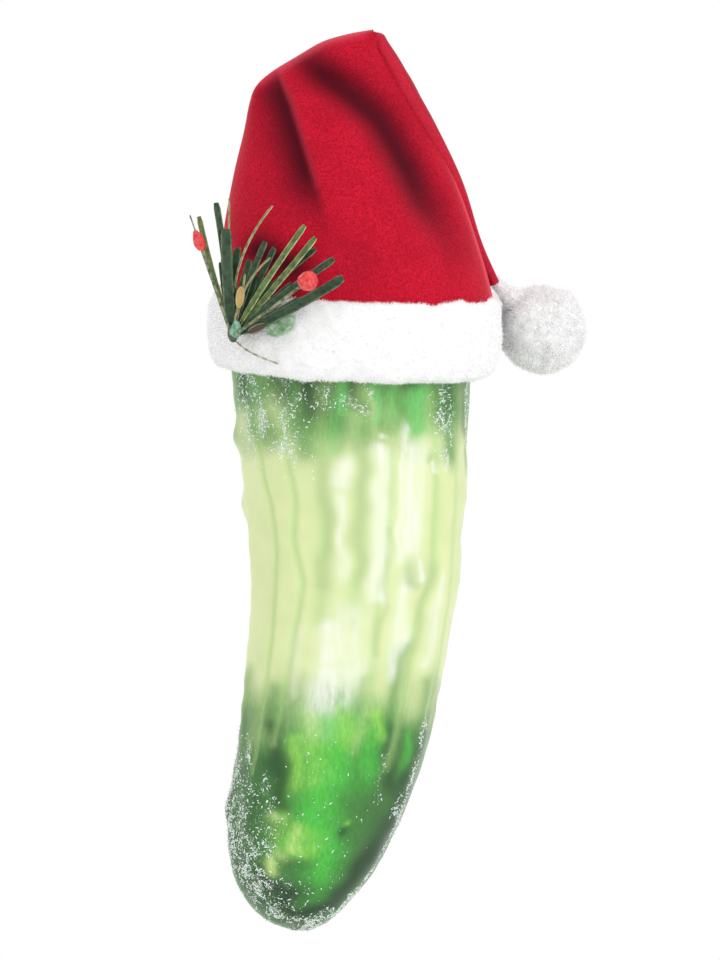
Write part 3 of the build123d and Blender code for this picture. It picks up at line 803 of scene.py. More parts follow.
# %% Plush band
BAND_CENTRE = vec((1.7, -0.35, -46.2))
BAND_X, BAND_Y, BAND_Z = vec((0.999, 0.005, -0.043)), vec((0, 0.995, 0.104)), vec((0.043, -0.104, 0.994))
BAND_MIDDLE, BAND_HALF_WALL, BAND_HALF_HEIGHT = 22.0, 2.6, 6.55
BAND_AROUND, BAND_SECTION, BAND_SQUARE = 300, 56, 2.6
BAND_LUMPS, OUTER_SIDE, PILE_SIDE = ((0.22, 9, 31), (0.14, 3.5, 32)), (-0.4, 0.5), (-0.55, -0.1)
BAND_PILE = dict(density=15.0, length=0.5, thickness=0.075, lean=0.9, seed=11)


def full_turn(count):
    """Angles of a full turn in equal steps."""
    return np.arange(count) * 2 * np.pi / count


def looped_faces(rows, around):
    """Quads of a stack of rings whose last ring meets the first."""
    last = (rows - 1) * around
    return ring_faces(rows, around) + [
        (last + j, last + (j + 1) % around, (j + 1) % around, j) for j in range(around)
    ]


def on_band(distance, turn_round, lift):
    """A point by its distance from the band's axis, its angle and its height above the middle."""
    distance, turn_round, lift = np.broadcast_arrays(distance, turn_round, lift)
    return (BAND_CENTRE + (distance * np.cos(turn_round))[..., None] * BAND_X
            + (distance * np.sin(turn_round))[..., None] * BAND_Y + lift[..., None] * BAND_Z)


def squared(turn_round, power):
    """Unit outline between a circle and a square."""
    c, s = np.cos(turn_round), np.sin(turn_round)
    reach = (np.abs(c) ** power + np.abs(s) ** power) ** (-1 / power)
    return c * reach, s * reach


plush = finish("white_plush", (0.95, 0.95, 0.95), 0.95, Sheen_Weight=0.2, Sheen_Roughness=0.5)
coloured(plush, mottled(plush, 1.6, (0.965, 0.965, 0.965), (0.99, 0.99, 0.99), low=0.3, high=0.7))
pile = scatter_tree("pile", "pile", hair=True)
across, up = squared(full_turn(BAND_SECTION), BAND_SQUARE)
ring_turn = np.repeat(full_turn(BAND_AROUND)[:, None], BAND_SECTION, 1)
plain_ring = on_band(BAND_MIDDLE + BAND_HALF_WALL * across, ring_turn, BAND_HALF_HEIGHT * up)
puff = lumps(plain_ring, *BAND_LUMPS) * step(*OUTER_SIDE, across)
band_rings = on_band(
    BAND_MIDDLE + BAND_HALF_WALL * across + puff * np.maximum(across, 0),
    ring_turn, (BAND_HALF_HEIGHT + puff) * up,
)
band_faces = looped_faces(BAND_AROUND, BAND_SECTION)
plush_band = piece_from("plush_band", band_rings.reshape(-1, 3), band_faces, plush)
mark(plush_band, "pile", np.repeat(step(*PILE_SIDE, across)[None, :], BAND_AROUND, 0).ravel())
placed(plush_band, "brim_band")
placed(grown(plush_band, pile, "band_pile", plush, **BAND_PILE))
print("band", 2 * BAND_HALF_HEIGHT, "mm high and", 2 * (BAND_MIDDLE + BAND_HALF_WALL), "mm across")

# %% [markdown]
# The ball at the tip of the hat is the same plush, tied into a ball. A tuft of it flares from the thread to
# the ball, as fibres do where they are tied. Both ride on a body of their own, because the ball swings.

# %% Pompom
BALL_CENTRE, BALL_RADIUS, BALL_ROWS, BALL_AROUND = vec((33.382, 8.898, -46.112)), 7.1, 60, 90
BALL_LUMPS = (0.3, 6, 41), (0.15, 2.5, 42)
BALL_PILE = dict(density=22.0, length=0.8, thickness=0.075, lean=0.9, seed=12)
TUFT_START, TUFT_END, TUFT_ROWS, TUFT_AROUND = vec((25.2, 5.85, -38.0)), vec((30.2, 7.5, -42.6)), 28, 30
TUFT_RADIUS, TUFT_FLARE, TUFT_CURVE = 0.7, 2.0, 1.5
TUFT_PILE = dict(density=22.0, length=0.7, thickness=0.075, lean=0.9, seed=14)
BACKWARDS = vec((0, 1, 0))


def ball_ways(rows, around):
    """Directions from a ball's middle, ring by ring from its top to its foot, without the two poles."""
    down, turn_round = np.linspace(0, np.pi, rows + 2)[1:-1, None], full_turn(around)[None, :]
    return np.stack([np.sin(down) * np.cos(turn_round), np.sin(down) * np.sin(turn_round),
                     np.cos(down) + 0 * turn_round], axis=-1)


def hose(line, radius, first_side, second_side, sides):
    """Rings of a round tube along a line, given two directions square to it."""
    turn_round = full_turn(sides)[None, :, None]
    first_side, second_side = (np.atleast_2d(way)[:, None, :] for way in (first_side, second_side))
    return line[:, None, :] + radius * (np.cos(turn_round) * first_side + np.sin(turn_round) * second_side)


ways = ball_ways(BALL_ROWS, BALL_AROUND)
smooth_ball = BALL_CENTRE + BALL_RADIUS * ways
plush_ball = tube_from("plush_ball", smooth_ball + ways * lumps(smooth_ball, *BALL_LUMPS)[..., None], plush)
mark(plush_ball, "pile", np.ones((BALL_ROWS, BALL_AROUND)))
placed(plush_ball, "pompom", body="ball")
placed(grown(plush_ball, pile, "ball_pile", plush, **BALL_PILE), body="ball")
tuft_way = unit(TUFT_END - TUFT_START)
tuft_side = unit(np.cross(tuft_way, BACKWARDS))
tuft_share = np.linspace(0, 1, TUFT_ROWS)[:, None]
tuft_rings = hose(
    TUFT_START + (TUFT_END - TUFT_START) * tuft_share,
    (TUFT_RADIUS + TUFT_FLARE * tuft_share**TUFT_CURVE)[..., None],
    tuft_side, np.cross(tuft_way, tuft_side), TUFT_AROUND,
)
plush_tuft = tube_from("plush_tuft", tuft_rings, plush)
mark(plush_tuft, "pile", np.ones((TUFT_ROWS, TUFT_AROUND)))
placed(plush_tuft, body="ball")
placed(grown(plush_tuft, pile, "tuft_pile", plush, **TUFT_PILE), body="ball")
print("ball", 2 * BALL_RADIUS, "mm thick before its pile")

# %% [markdown]
# The hat is one piece of crimson velvet, gathered into the band and folded over at the crest. The crown
# is drawn as ovals from the band up and over; each oval is given by its left end, right end, depth and
# tilt, and a smooth curve runs through all of them. Folds are valleys along lines. A cloth simulation
# would make folds of its own, but these have to lie where the real ones do.

# %% Velvet crown: ovals and folds
# Ovals as (left end x, z, right end x, z, middle y, half depth, tilt)
CROWN_ROWS = (
    (-20.3, -41.8, 24.1, -43.6, -0.8, 21.3, 0.104), (-21.0, -38.6, 24.8, -40.2, -1.07, 21.8, 0.10),
    (-20.7, -31.0, 22.2, -31.0, -2.6, 18.6, 0.03), (-18.9, -20.6, 18.6, -21.0, -4.1, 15.0, 0.0),
    (-17.1, -13.0, 14.3, -12.8, -5.3, 12.3, 0.0), (-16.1, -8.0, 11.7, -7.7, -6.0, 10.6, 0.0),
    (-15.0, -5.2, 9.9, -4.6, -6.5, 9.3, 0.0), (-12.4, -2.8, 8.2, -1.9, -7.0, 8.1, 0.0),
    (-8.0, -0.1, 6.9, 0.1, -7.25, 7.3, 0.0), (-3.8, 2.3, 6.1, 1.4, -7.4, 6.6, 0.0),
    (0.6, 3.6, 6.1, 2.5, -7.5, 6.1, 0.0), (4.2, 4.25, 6.0, 3.4, -7.5, 5.9, 0.0),
)
CROWN_AROUND, CROWN_COUNT, CROWN_STEPS = 240, 170, 14
# Folds as (line, depth, spread to the left, spread to the right, share of painted shade in it)
FRONT_FOLDS = (
    (((-14.0, 6.2), (-5.0, -2.6), (1.7, -7.4), (5.6, -11.1), (8.3, -15.6), (10.7, -20.1), (12.6, -24.2),
      (16.4, -29.5), (23.0, -39.0)), 3.4, 2.8, 3.8, 0.95),
    (((-14.0, 1.5), (-11.8, -3.4), (-9.8, -8.5), (-7.5, -16.0), (-5.7, -22.1), (-3.0, -32.5)),
     2.8, 4.8, 0.9, 0.95),
    # This third fold is mostly the sprig's shadow on the crown, painted into the velvet.
    (((-18.0, -30.5), (-12.0, -34.5), (-3.5, -38.5)), 0.8, 2.8, 2.8, 0.95),
    (((4.0, -31.0), (0.0, -40.0)), 0.6, 3.5, 3.5, 0.15),
)
BACK_FOLDS = (
    (((3.0, -7.0), (-1.0, -16.0), (-6.0, -30.0)), 2.4, 3.4, 2.2, 0.7),
    (((6.0, -8.0), (9.0, -20.0), (11.0, -34.0)), 1.6, 3.0, 2.4, 0.5),
)
# Edges with a painted highlight on the nap, as (line, width, share)
EDGES = (
    (((-11.0, -3.0), (-8.7, -8.3), (-6.5, -15.6), (-4.6, -22.0)), 0.6, 0.14),
    (((-14.0, -4.4), (-8.0, -0.4), (-3.5, 2.2), (3.0, 3.6)), 0.9, 0.35),
)
LINE_START, LINE_END = (0.0, 0.25), (1.0, 0.6)


def beside_line(points, line):
    """Distance from a line seen from the front, its side (right is positive) and a fade at both ends."""
    flat = points[..., [0, 2]]
    best, signed, ends = np.full(flat.shape[:-1], FAR), np.zeros(flat.shape[:-1]), np.zeros(flat.shape[:-1])
    total = sum(math.dist(a, b) for a, b in zip(line, line[1:]))
    done = 0.0
    for a, b in zip(line, line[1:]):
        a, b = vec(a), vec(b)
        way = b - a
        share = np.clip(((flat - a) @ way) / (way @ way), 0, 1)
        gap = flat - a - share[..., None] * way
        away = np.linalg.norm(gap, axis=-1)
        nearer = away < best
        best = np.where(nearer, away, best)
        signed = np.where(nearer, np.sign(gap[..., 0] * -way[1] + gap[..., 1] * way[0]), signed)
        ends = np.where(nearer, (done + share * np.linalg.norm(way)) / total, ends)
        done += np.linalg.norm(way)
    return best, signed, step(*LINE_START, ends) * step(*LINE_END, ends)


print("folds", len(FRONT_FOLDS), "in front and", len(BACK_FOLDS), "behind")

# %% [markdown]
# Each fold pushes the rings inwards by its depth, and its two sides may slope differently, as cloth that
# rolls over itself does. How deep a point lies in a fold is kept as painted shade, and how near it is to a
# bent edge as a painted highlight, for the colour of the velvet.

# %% Velvet crown: rings
FACING, FOLD_TOP, EDGE_FRONT = (0.05, 0.6), (2.0, -5.0), (0.3, 0.0)
# The right edge of the crown gets a painted highlight.
RIGHT_EDGE, RIGHT_TURN, RIGHT_WIDTH, RIGHT_SIDE = 0.7, -0.12, 0.08, (0.0, 0.2)
SLACK, SLACK_FOOT, SLACK_TOP = (0.3, 16, 51), (-41, -30), (4, -6)
rows = even_rows(curve_through(CROWN_ROWS, CROWN_STEPS), CROWN_COUNT, [0, 1, 2, 3])
left_x, left_z, right_x, right_z, middle_y, half_depth, tilt = (c[:, None] for c in rows.T)
c, s = np.cos(full_turn(CROWN_AROUND))[None, :], np.sin(full_turn(CROWN_AROUND))[None, :]
smooth_crown = np.stack([
    (left_x + right_x) / 2 + (right_x - left_x) / 2 * c,
    middle_y + half_depth * s,
    (left_z + right_z) / 2 + (right_z - left_z) / 2 * c + tilt * half_depth * s,
], axis=-1)
crown_rings = smooth_crown.copy()
crown_dark = np.zeros(crown_rings.shape[:2])
crown_edge = RIGHT_EDGE * np.exp(-(((s - RIGHT_TURN) / RIGHT_WIDTH) ** 2)) * step(*RIGHT_SIDE, c) + 0 * left_x
# The velvet's colour gets painted shade down each fold.
for side, folds in ((-1, FRONT_FOLDS), (1, BACK_FOLDS)):
    for line, depth, left_spread, right_spread, dark in folds:
        away, beside, fade = beside_line(smooth_crown, line)
        dip = np.exp(-((away / np.where(beside > 0, right_spread, left_spread)) ** 2))
        dip *= fade * step(*FACING, side * s)
        crown_rings[..., 1] -= side * depth * dip * step(*FOLD_TOP, smooth_crown[..., 2])
        crown_dark = np.maximum(crown_dark, dark * dip)
for line, width, share in EDGES:
    away, _, _ = beside_line(smooth_crown, line)
    crown_edge = np.maximum(crown_edge, share * np.exp(-((away / width) ** 2)) * step(*EDGE_FRONT, s))
slack = step(*SLACK_FOOT, crown_rings[..., 2]) * step(*SLACK_TOP, crown_rings[..., 2])
crown_rings[..., 1] += slack * lumps(crown_rings, SLACK) * s
print("crown rings", crown_rings.shape[:2])

# %% [markdown]
# Velvet is a short dense pile, dark where one looks down into it and bright where it bends over an edge.
# Sheen on the shader gives the soft bright rim, a fine noise the nap, a coarse one the brushed patches,
# and two masks on the mesh paint shade into the folds and highlights along the edges.

# %% Red velvet
NAP_LOW, NAP_HIGH, NAP_BRUSHED = (0.38, 0.003, 0.017), (0.67, 0.011, 0.038), (0.36, 0.004, 0.016)
FOLD_COLOUR, EDGE_COLOUR, SHEEN_TINT = (0.07, 0.003, 0.010), (0.86, 0.06, 0.11), (1.0, 0.30, 0.36, 1)
velvet = finish("red_velvet", (0.55, 0.008, 0.028), 0.85, Sheen_Weight=0.3, Sheen_Roughness=0.35,
                Sheen_Tint=SHEEN_TINT, Specular_IOR_Level=0.1)
nap = mottled(velvet, 0.35, NAP_LOW, NAP_HIGH, low=0.3, high=0.7)
nap = mottled(velvet, 6.0, nap, NAP_BRUSHED, detail=5.0, low=0.4, high=0.75, most=0.45)
# Painted shade in the folds and painted highlights along the edges.
for name, colour in (("fold", FOLD_COLOUR), ("edge", EDGE_COLOUR)):
    nap = blended(velvet, mask(velvet, name), nap, colour)
coloured(velvet, nap)
bumped(velvet, noise(velvet, 0.3, 2.0), 0.1, 0.5)
print("velvet nodes", len(velvet.node_tree.nodes))

# %% [markdown]
# The wire eye comes out through a slit at the back of the crest, so the faces there are left out. The
# wall gets its thickness inwards from a Solidify modifier, which also closes the slit's edges. The size
# the cloth was cut to is given as well: the girth at the band, the girth below the crest and the height.

# %% Velvet crown: mesh and slit
VELVET_WALL, CROWN_CUT, CROWN_CUT_TOP = 1.0, (0.145, 0.046), 0.064
SLIT_MIDDLE, SLIT_HALF_WIDTH, SLIT_HALF_HEIGHT, SLIT_FRONT, SLIT_SQUARE = -2.4, 3.6, 4.1, -3.0, 3.0
crown_points = np.vstack([crown_rings.reshape(-1, 3), crown_rings[-1].mean(0)])
crown_faces = ring_faces(CROWN_COUNT, CROWN_AROUND)
last = (CROWN_COUNT - 1) * CROWN_AROUND
crown_faces += [(len(crown_points) - 1, last + j, last + (j + 1) % CROWN_AROUND) for j in range(CROWN_AROUND)]


def in_slit(face):
    x, y, z = crown_points[list(face)].mean(0)
    share_x, share_z = abs(x) / SLIT_HALF_WIDTH, abs(z - SLIT_MIDDLE) / SLIT_HALF_HEIGHT
    return y > SLIT_FRONT and share_x**SLIT_SQUARE + share_z**SLIT_SQUARE < 1


crown = piece_from("velvet_crown", crown_points, [f for f in crown_faces if not in_slit(f)], velvet)
mark(crown, "fold", np.append(crown_dark.ravel(), 0.0))
mark(crown, "edge", np.append(crown_edge.ravel(), 0.0))
crown_area = sum(p.area for p in crown.data.polygons)
wall = crown.modifiers.new("wall", "SOLIDIFY")
wall.thickness, wall.offset = VELVET_WALL * MM, -1
placed(crown, "hat_crown")
print("crown cloth", round(crown_area * 1e4, 1), "square cm")

# %% [markdown]
# The slit is bound with a narrow roll of the same velvet. The roll follows the slit's outline on the back
# of the crown: each of its points takes its depth from the crown's points around it, the nearest first.

# %% Bound rim of the slit
BINDING_RADIUS, BINDING_STEPS, BINDING_AROUND, NEIGHBOURS, NEAR = 0.42, 140, 12, 8, 0.01
back_points = crown_rings[:, 1:CROWN_AROUND // 2].reshape(-1, 3)
slit_x, slit_z = squared(full_turn(BINDING_STEPS), SLIT_SQUARE)
slit_x, slit_z = SLIT_HALF_WIDTH * slit_x, SLIT_MIDDLE + SLIT_HALF_HEIGHT * slit_z
apart = (slit_x[:, None] - back_points[None, :, 0]) ** 2 + (slit_z[:, None] - back_points[None, :, 2]) ** 2
nearest = np.argsort(apart, axis=1)[:, :NEIGHBOURS]
weight = 1 / (np.take_along_axis(apart, nearest, 1) + NEAR)
slit_y = (weight * back_points[nearest, 1]).sum(1) / weight.sum(1)
slit_line = np.stack([slit_x, slit_y, slit_z], axis=-1)
slit_way = unit(np.roll(slit_line, -1, 0) - np.roll(slit_line, 1, 0))
slit_side = unit(np.cross(slit_way, BACKWARDS))
binding_rings = hose(slit_line, BINDING_RADIUS, slit_side, np.cross(slit_side, slit_way), BINDING_AROUND)
binding_faces = looped_faces(BINDING_STEPS, BINDING_AROUND)
placed(piece_from("slit_binding", binding_rings.reshape(-1, 3), binding_faces, velvet))
print("slit", 2 * SLIT_HALF_WIDTH, "by", 2 * SLIT_HALF_HEIGHT, "mm")

# %% [markdown]
# The tip of the hat turns over at the crest and lies along the right side, where its edge shows past
# the crown. It is the same velvet, flattened double, and it crosses the hinge at the crest.

# %% Velvet tail
# Stations as (middle, way out, way across, width, thickness)
TAIL_STATIONS = (
    ((2.2, -6.4, 2.4), (-0.3, 0.0, 0.95), (0.0, 1.0, 0.0), 8.6, 1.2),
    ((4.3, -6.3, 3.1), (-0.1, 0.0, 0.99), (0.0, 1.0, 0.02), 9.2, 1.6),
    ((5.65, -6.2, 2.8), (0.60, -0.01, 0.80), (0.0, 1.0, 0.03), 9.4, 2.2),
    ((6.2, -6.1, 1.5), (0.80, -0.01, 0.60), (0.0, 1.0, 0.03), 9.6, 2.8),
    ((8.0, -5.98, -1.83), (0.826, 0.026, 0.563), (-0.036, 0.999, 0.007), 9.6, 3.3),
    ((10.32, -5.93, -5.75), (0.88, -0.038, 0.473), (-0.063, 0.979, 0.195), 9.6, 3.3),
    ((13.55, -4.26, -11.99), (0.88, 0.082, 0.468), (-0.228, 0.937, 0.265), 9.8, 3.3),
    ((17.55, -1.14, -20.9), (0.874, 0.234, 0.425), (-0.367, 0.892, 0.265), 8.8, 3.2),
    ((20.9, 3.1, -30.7), (0.814, 0.319, 0.485), (-0.442, 0.883, 0.16), 6.8, 2.6),
    ((25.0, 5.8, -38.2), (0.808, 0.163, 0.566), (-0.278, 0.953, 0.122), 4.4, 1.8),
)
TAIL_AROUND, TAIL_STEPS, TAIL_SQUARE, TAIL_SEAM, SEAM_WIDTH = 48, 14, 2.6, 0.15, 0.2
TAIL_SHADE, TAIL_SHINE, TAIL_EDGE = 0.16, 0.2, (-0.75, -0.95)
tail_rows = curve_through([np.hstack(station) for station in TAIL_STATIONS], TAIL_STEPS)
wide, thick = squared(full_turn(TAIL_AROUND), TAIL_SQUARE)
thick = thick * (1 - TAIL_SEAM * np.exp(-((wide / SEAM_WIDTH) ** 2)))
middle, way_out, way_across, width, thickness = np.split(tail_rows[:, None, :], [3, 6, 9, 10], axis=2)
tail_rings = middle + way_across * wide[:, None] * width / 2 + way_out * thick[:, None] * thickness / 2
tail = tube_from("velvet_tail", tail_rings, velvet)
# Painted shade over the whole tail, which lies behind the crown's edge, and a painted highlight along its
# front edge.
mark(tail, "fold", np.full(tail_rings.shape[:2], TAIL_SHADE))
mark(tail, "edge", np.repeat(TAIL_SHINE * step(*TAIL_EDGE, wide)[None, :], len(tail_rings), 0))
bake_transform(tail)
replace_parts(tail, "hat_tail")
print("tail rings", len(tail_rings))

# %% [markdown]
# The sprig is made of flat needles, stamped from plastic sheet: blunt ends, a crease down the middle, a
# pressed grain and pale cut edges. Each needle is given by its root in the taped foot, its tip and the way
# its face looks.

# %% Sprig needles
# Long blades: root, tip, way out, width, bow, finish
NEEDLES = (
    ((-19.553, -16.929, -45.458), (-24.568, -16.929, -27.278), (0.0, -1.0, 0.0), 0.95, 0.3, "olive"),
    ((-19.229, -17.529, -45.394), (-21.668, -17.529, -24.978), (0.0, -1.0, 0.0), 1.15, -0.3, "dark"),
    ((-19.016, -18.129, -45.379), (-19.468, -18.129, -24.278), (0.0, -1.0, 0.0), 0.36, 0.2, "pale"),
    ((-19.09, -18.802, -45.383), (-19.968, -19.329, -29.478), (0.002, -0.999, -0.033), 1.9, 0.2, "dark"),
    ((-18.329, -17.926, -45.511), (-12.168, -21.745, -25.578), (-0.527, -0.85, 0.0), 0.4, 2.6, "pale"),
    ((-18.256, -18.571, -45.544), (-13.368, -21.601, -31.578), (-0.527, -0.85, 0.0), 1.2, 0.3, "dark"),
    ((-18.059, -17.493, -45.656), (-11.868, -21.331, -32.578), (-0.527, -0.85, 0.0), 1.2, -0.2, "dark"),
    ((-17.839, -19.504, -45.857), (-6.768, -27.093, -28.978), (-0.542, -0.84, -0.022), 1.15, 0.2, "bright"),
    ((-17.669, -19.01, -46.037), (-4.968, -27.609, -30.978), (-0.544, -0.839, -0.02), 1.15, -0.2, "bright"),
    ((-17.573, -18.394, -46.114), (-4.968, -26.209, -32.878), (-0.527, -0.85, 0.0), 1.1, 0.9, "dark"),
    ((-17.41, -19.732, -46.393), (-1.868, -29.731, -34.578), (-0.537, -0.844, -0.008), 1.3, 0.3, "dark"),
    ((-17.279, -20.422, -46.688), (-0.368, -31.361, -37.778), (-0.54, -0.841, -0.007), 1.75, -0.5, "dark"),
    ((-18.054, -19.954, -45.678), (-12.568, -23.697, -34.278), (-0.536, -0.844, -0.019), 0.34, 1.6, "pale"),
)
# Short blades under the long ones: tip, width, bow, finish
UNDER = (
    ((-18.0, -17.7, -32.5), 1.5, 0.3, "dark"), ((-16.0, -18.6, -34.6), 1.3, 0.2, "dark"),
    ((-14.8, -19.6, -37.2), 1.3, -0.2, "dark"), ((-12.4, -21.4, -38.4), 1.4, 0.2, "dark"),
    ((-9.8, -23.4, -40.0), 1.5, 0.2, "dark"), ((-7.6, -25.6, -41.4), 1.6, -0.3, "dark"),
    ((-20.9, -18.4, -35.0), 0.9, 0.1, "dark"), ((-16.8, -20.6, -37.0), 0.35, -0.4, "pale"),
    ((-9.0, -25.0, -38.6), 0.8, 0.1, "dark"),
)
FOOT, UNDER_ROOT, UNDER_OUT = vec((-18.97, -17.83, -47.58)), 0.15, (-0.45, -0.89, 0.0)
print("needles", len(NEEDLES), "short ones under them", len(UNDER))

# %% [markdown]
# The plastic is dyed through and pale where it was cut. A noise mottles it between a lit and a shaded copy
# of its colour, as painted highlights and shade. The cut edge is a mask across the blade that a noise
# breaks up, as wear does.

# %% Needle finishes
# Colours as (middle, cut edge)
NEEDLE_FINISH = {
    "dark": ((0.032, 0.072, 0.036), (0.17, 0.24, 0.13)),
    "olive": ((0.12, 0.17, 0.045), (0.40, 0.42, 0.20)),
    "bright": ((0.115, 0.19, 0.055), (0.68, 0.66, 0.36)),
    "pale": ((0.30, 0.30, 0.14), (0.72, 0.66, 0.42)),
}
# Lit and shaded copies of each needle's colour, mottled together as painted highlights and shade.
LIT, SHADED = 1.25, 0.4


def toned(colour, share):
    return tuple(share * value for value in colour)


def needle_finish(kind):
    middle, edge = NEEDLE_FINISH[kind]
    sheet = finish(f"{kind}_needle", middle, 0.45, Specular_IOR_Level=0.3)
    leaf = mottled(sheet, 0.9, toned(middle, LIT), toned(middle, SHADED), detail=3.0, high=0.7)
    worn = ranged(sheet, noise(sheet, 1.0, 2.0), 0.35, 0.6, 0.25, 1.0)
    rim = times(sheet, ranged(sheet, mask(sheet, "edge"), 0.6, 0.95), worn)
    coloured(sheet, blended(sheet, rim, leaf, edge))
    bumped(sheet, noise(sheet, 0.3, 1.0), 0.06, 0.8)
    return sheet


sheets = {kind: needle_finish(kind) for kind in NEEDLE_FINISH}
print("needle finishes", ", ".join(sheets))

# %% [markdown]
# A blade is a stack of rings with five points on each face and one on each edge, so that the face can be
# creased while the edge stays sharp. A Geometry Nodes tree could place one blade many times, but here each
# has its own length, width and bow.

# %% Needle blades
ROOT_REACH, NEEDLE_WALL, NEEDLE_CREASE, NEEDLE_ROWS = 1.8, 0.3, 0.14, 22
ROOT_WIDTH, ROOT_LENGTH, BLUNT, BLUNT_FROM, NEEDLE_ARCH = 0.35, 0.3, 0.3, 0.96, 0.25
# Section of a blade: places across it, and which face each is on
ACROSS = vec((-1.0, -0.86, -0.45, 0.0, 0.45, 0.86, 1.0, 0.86, 0.45, 0.0, -0.45, -0.86))
FACE = vec((0, 1, 1, 1, 1, 1, 0, -1, -1, -1, -1, -1))


def needle_blade(name, root, tip, out, width, bow, kind):
    """A thin creased blade from root to tip, narrow at the root and blunt at the tip."""
    root, tip, out = vec(root), vec(tip), vec(out)
    along = unit(tip - root)
    root = root - ROOT_REACH * along
    beside = np.cross(out, along)
    t = np.linspace(0, 1, NEEDLE_ROWS)[:, None]
    half = width / 2 * (ROOT_WIDTH + (1 - ROOT_WIDTH) * step(0, ROOT_LENGTH, t))
    half *= 1 - BLUNT * step(BLUNT_FROM, 1, t)
    line = root + (tip - root) * t
    line += beside * (bow * 4 * t * (1 - t)) + out * (NEEDLE_ARCH * np.sin(np.pi * t))
    lift = FACE * NEEDLE_WALL / 2 - NEEDLE_CREASE * (1 - np.abs(ACROSS))
    rings = line[:, None, :] + beside * (half * ACROSS)[..., None] + out * lift[:, None]
    blade = tube_from(name, rings, sheets[kind])
    mark(blade, "edge", np.repeat(np.abs(ACROSS)[None, :], NEEDLE_ROWS, 0))
    placed(blade)
    return blade


for number, needle in enumerate(NEEDLES, start=1):
    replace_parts(needle_blade(f"needle_blade_{number:02d}", *needle), f"needle_{number:02d}")
for number, (tip, width, bow, kind) in enumerate(UNDER, start=1):
    root = FOOT + UNDER_ROOT * (vec(tip) - FOOT)
    needle_blade(f"under_blade_{number}", root, tip, UNDER_OUT, width, bow, kind)
print("blades", len(NEEDLES) + len(UNDER))

# %% [markdown]
# Two waxed berries are threaded on thin wires: a pointed one at the left and a round one at the right.
# Each is a turned shape with a few soft dents and a hole in its end for the wire.

# %% Berries and their wires
# Berries as (name, root of the wire, middle, half width, half length, wire past the end)
BERRIES = (
    ("left", (-19.68, -20.234, -45.519), (-24.568, -22.329, -31.378), 0.95, 1.9, 2.6),
    ("right", (-17.53, -21.226, -46.534), (-6.168, -31.465, -38.278), 1.75, 1.75, -1.0),
)
BERRY_ROWS, BERRY_AROUND, BERRY_TAPER, BERRY_LUMPS = 28, 40, 0.22, (0.045, 1.6, 61)
HOLE_DEPTH, HOLE_WIDTH, WIRE_SIDES, WIRE_ROWS = 0.10, 0.05, 10, 24
STEM_RADIUS, STEM_THINNING, THIN_FROM, THIN_TO = 0.26, 0.13, -2, 1
wax = finish("red_wax", (0.62, 0.035, 0.03), 0.35,
             Coat_Weight=0.3, Coat_Roughness=0.15, Specular_IOR_Level=0.3)
coloured(wax, mottled(wax, 0.6, (0.60, 0.015, 0.02), (0.86, 0.10, 0.09), detail=3.0))
bumped(wax, noise(wax, 0.5, 2.0), 0.08, 0.5)
stem = finish("green_wire", (0.16, 0.19, 0.09), 0.45, Specular_IOR_Level=0.4)
coloured(stem, mottled(stem, 0.8, (0.05, 0.08, 0.04), (0.34, 0.36, 0.20)))
ways = ball_ways(BERRY_ROWS, BERRY_AROUND)
for name, root, centre, half_width, half_length, past in BERRIES:
    root, centre = vec(root), vec(centre)
    reach = np.linalg.norm(centre - root)
    along = unit(centre - root)
    right = unit(np.cross(along, BACKWARDS))
    frame_of = np.stack([right, np.cross(along, right), along])
    taper = 1 - BERRY_TAPER * ways[..., 2:] * (half_length > half_width)
    local = ways * vec((half_width, half_width, half_length))
    local *= np.concatenate([taper, taper, np.ones_like(taper)], -1)
    dents = lumps(local, BERRY_LUMPS) - HOLE_DEPTH * np.exp(-(((1 - np.abs(ways[..., 2])) / HOLE_WIDTH) ** 2))
    berry = tube_from(f"wax_berry_{name}", centre + (local * (1 + dents)[..., None]) @ frame_of, wax)
    places = np.linspace(-ROOT_REACH, reach + half_length + past, WIRE_ROWS)[:, None]
    thick = STEM_RADIUS - STEM_THINNING * step(reach + THIN_FROM, reach + THIN_TO, places)
    stem_rings = hose(root + along * places, thick[..., None], right, frame_of[1], WIRE_SIDES)
    placed(berry, f"berry_{name}")
    placed(tube_from(f"wire_stem_{name}", stem_rings, stem), f"berry_stem_{name}")
print("berries", len(BERRIES))

# %% [markdown]
# Two dry scales sit at the foot of the sprig, as on a cone. Each is a thin cupped oval, with the same
# section as a needle, pale along its edge and with a grain that runs lengthwise.

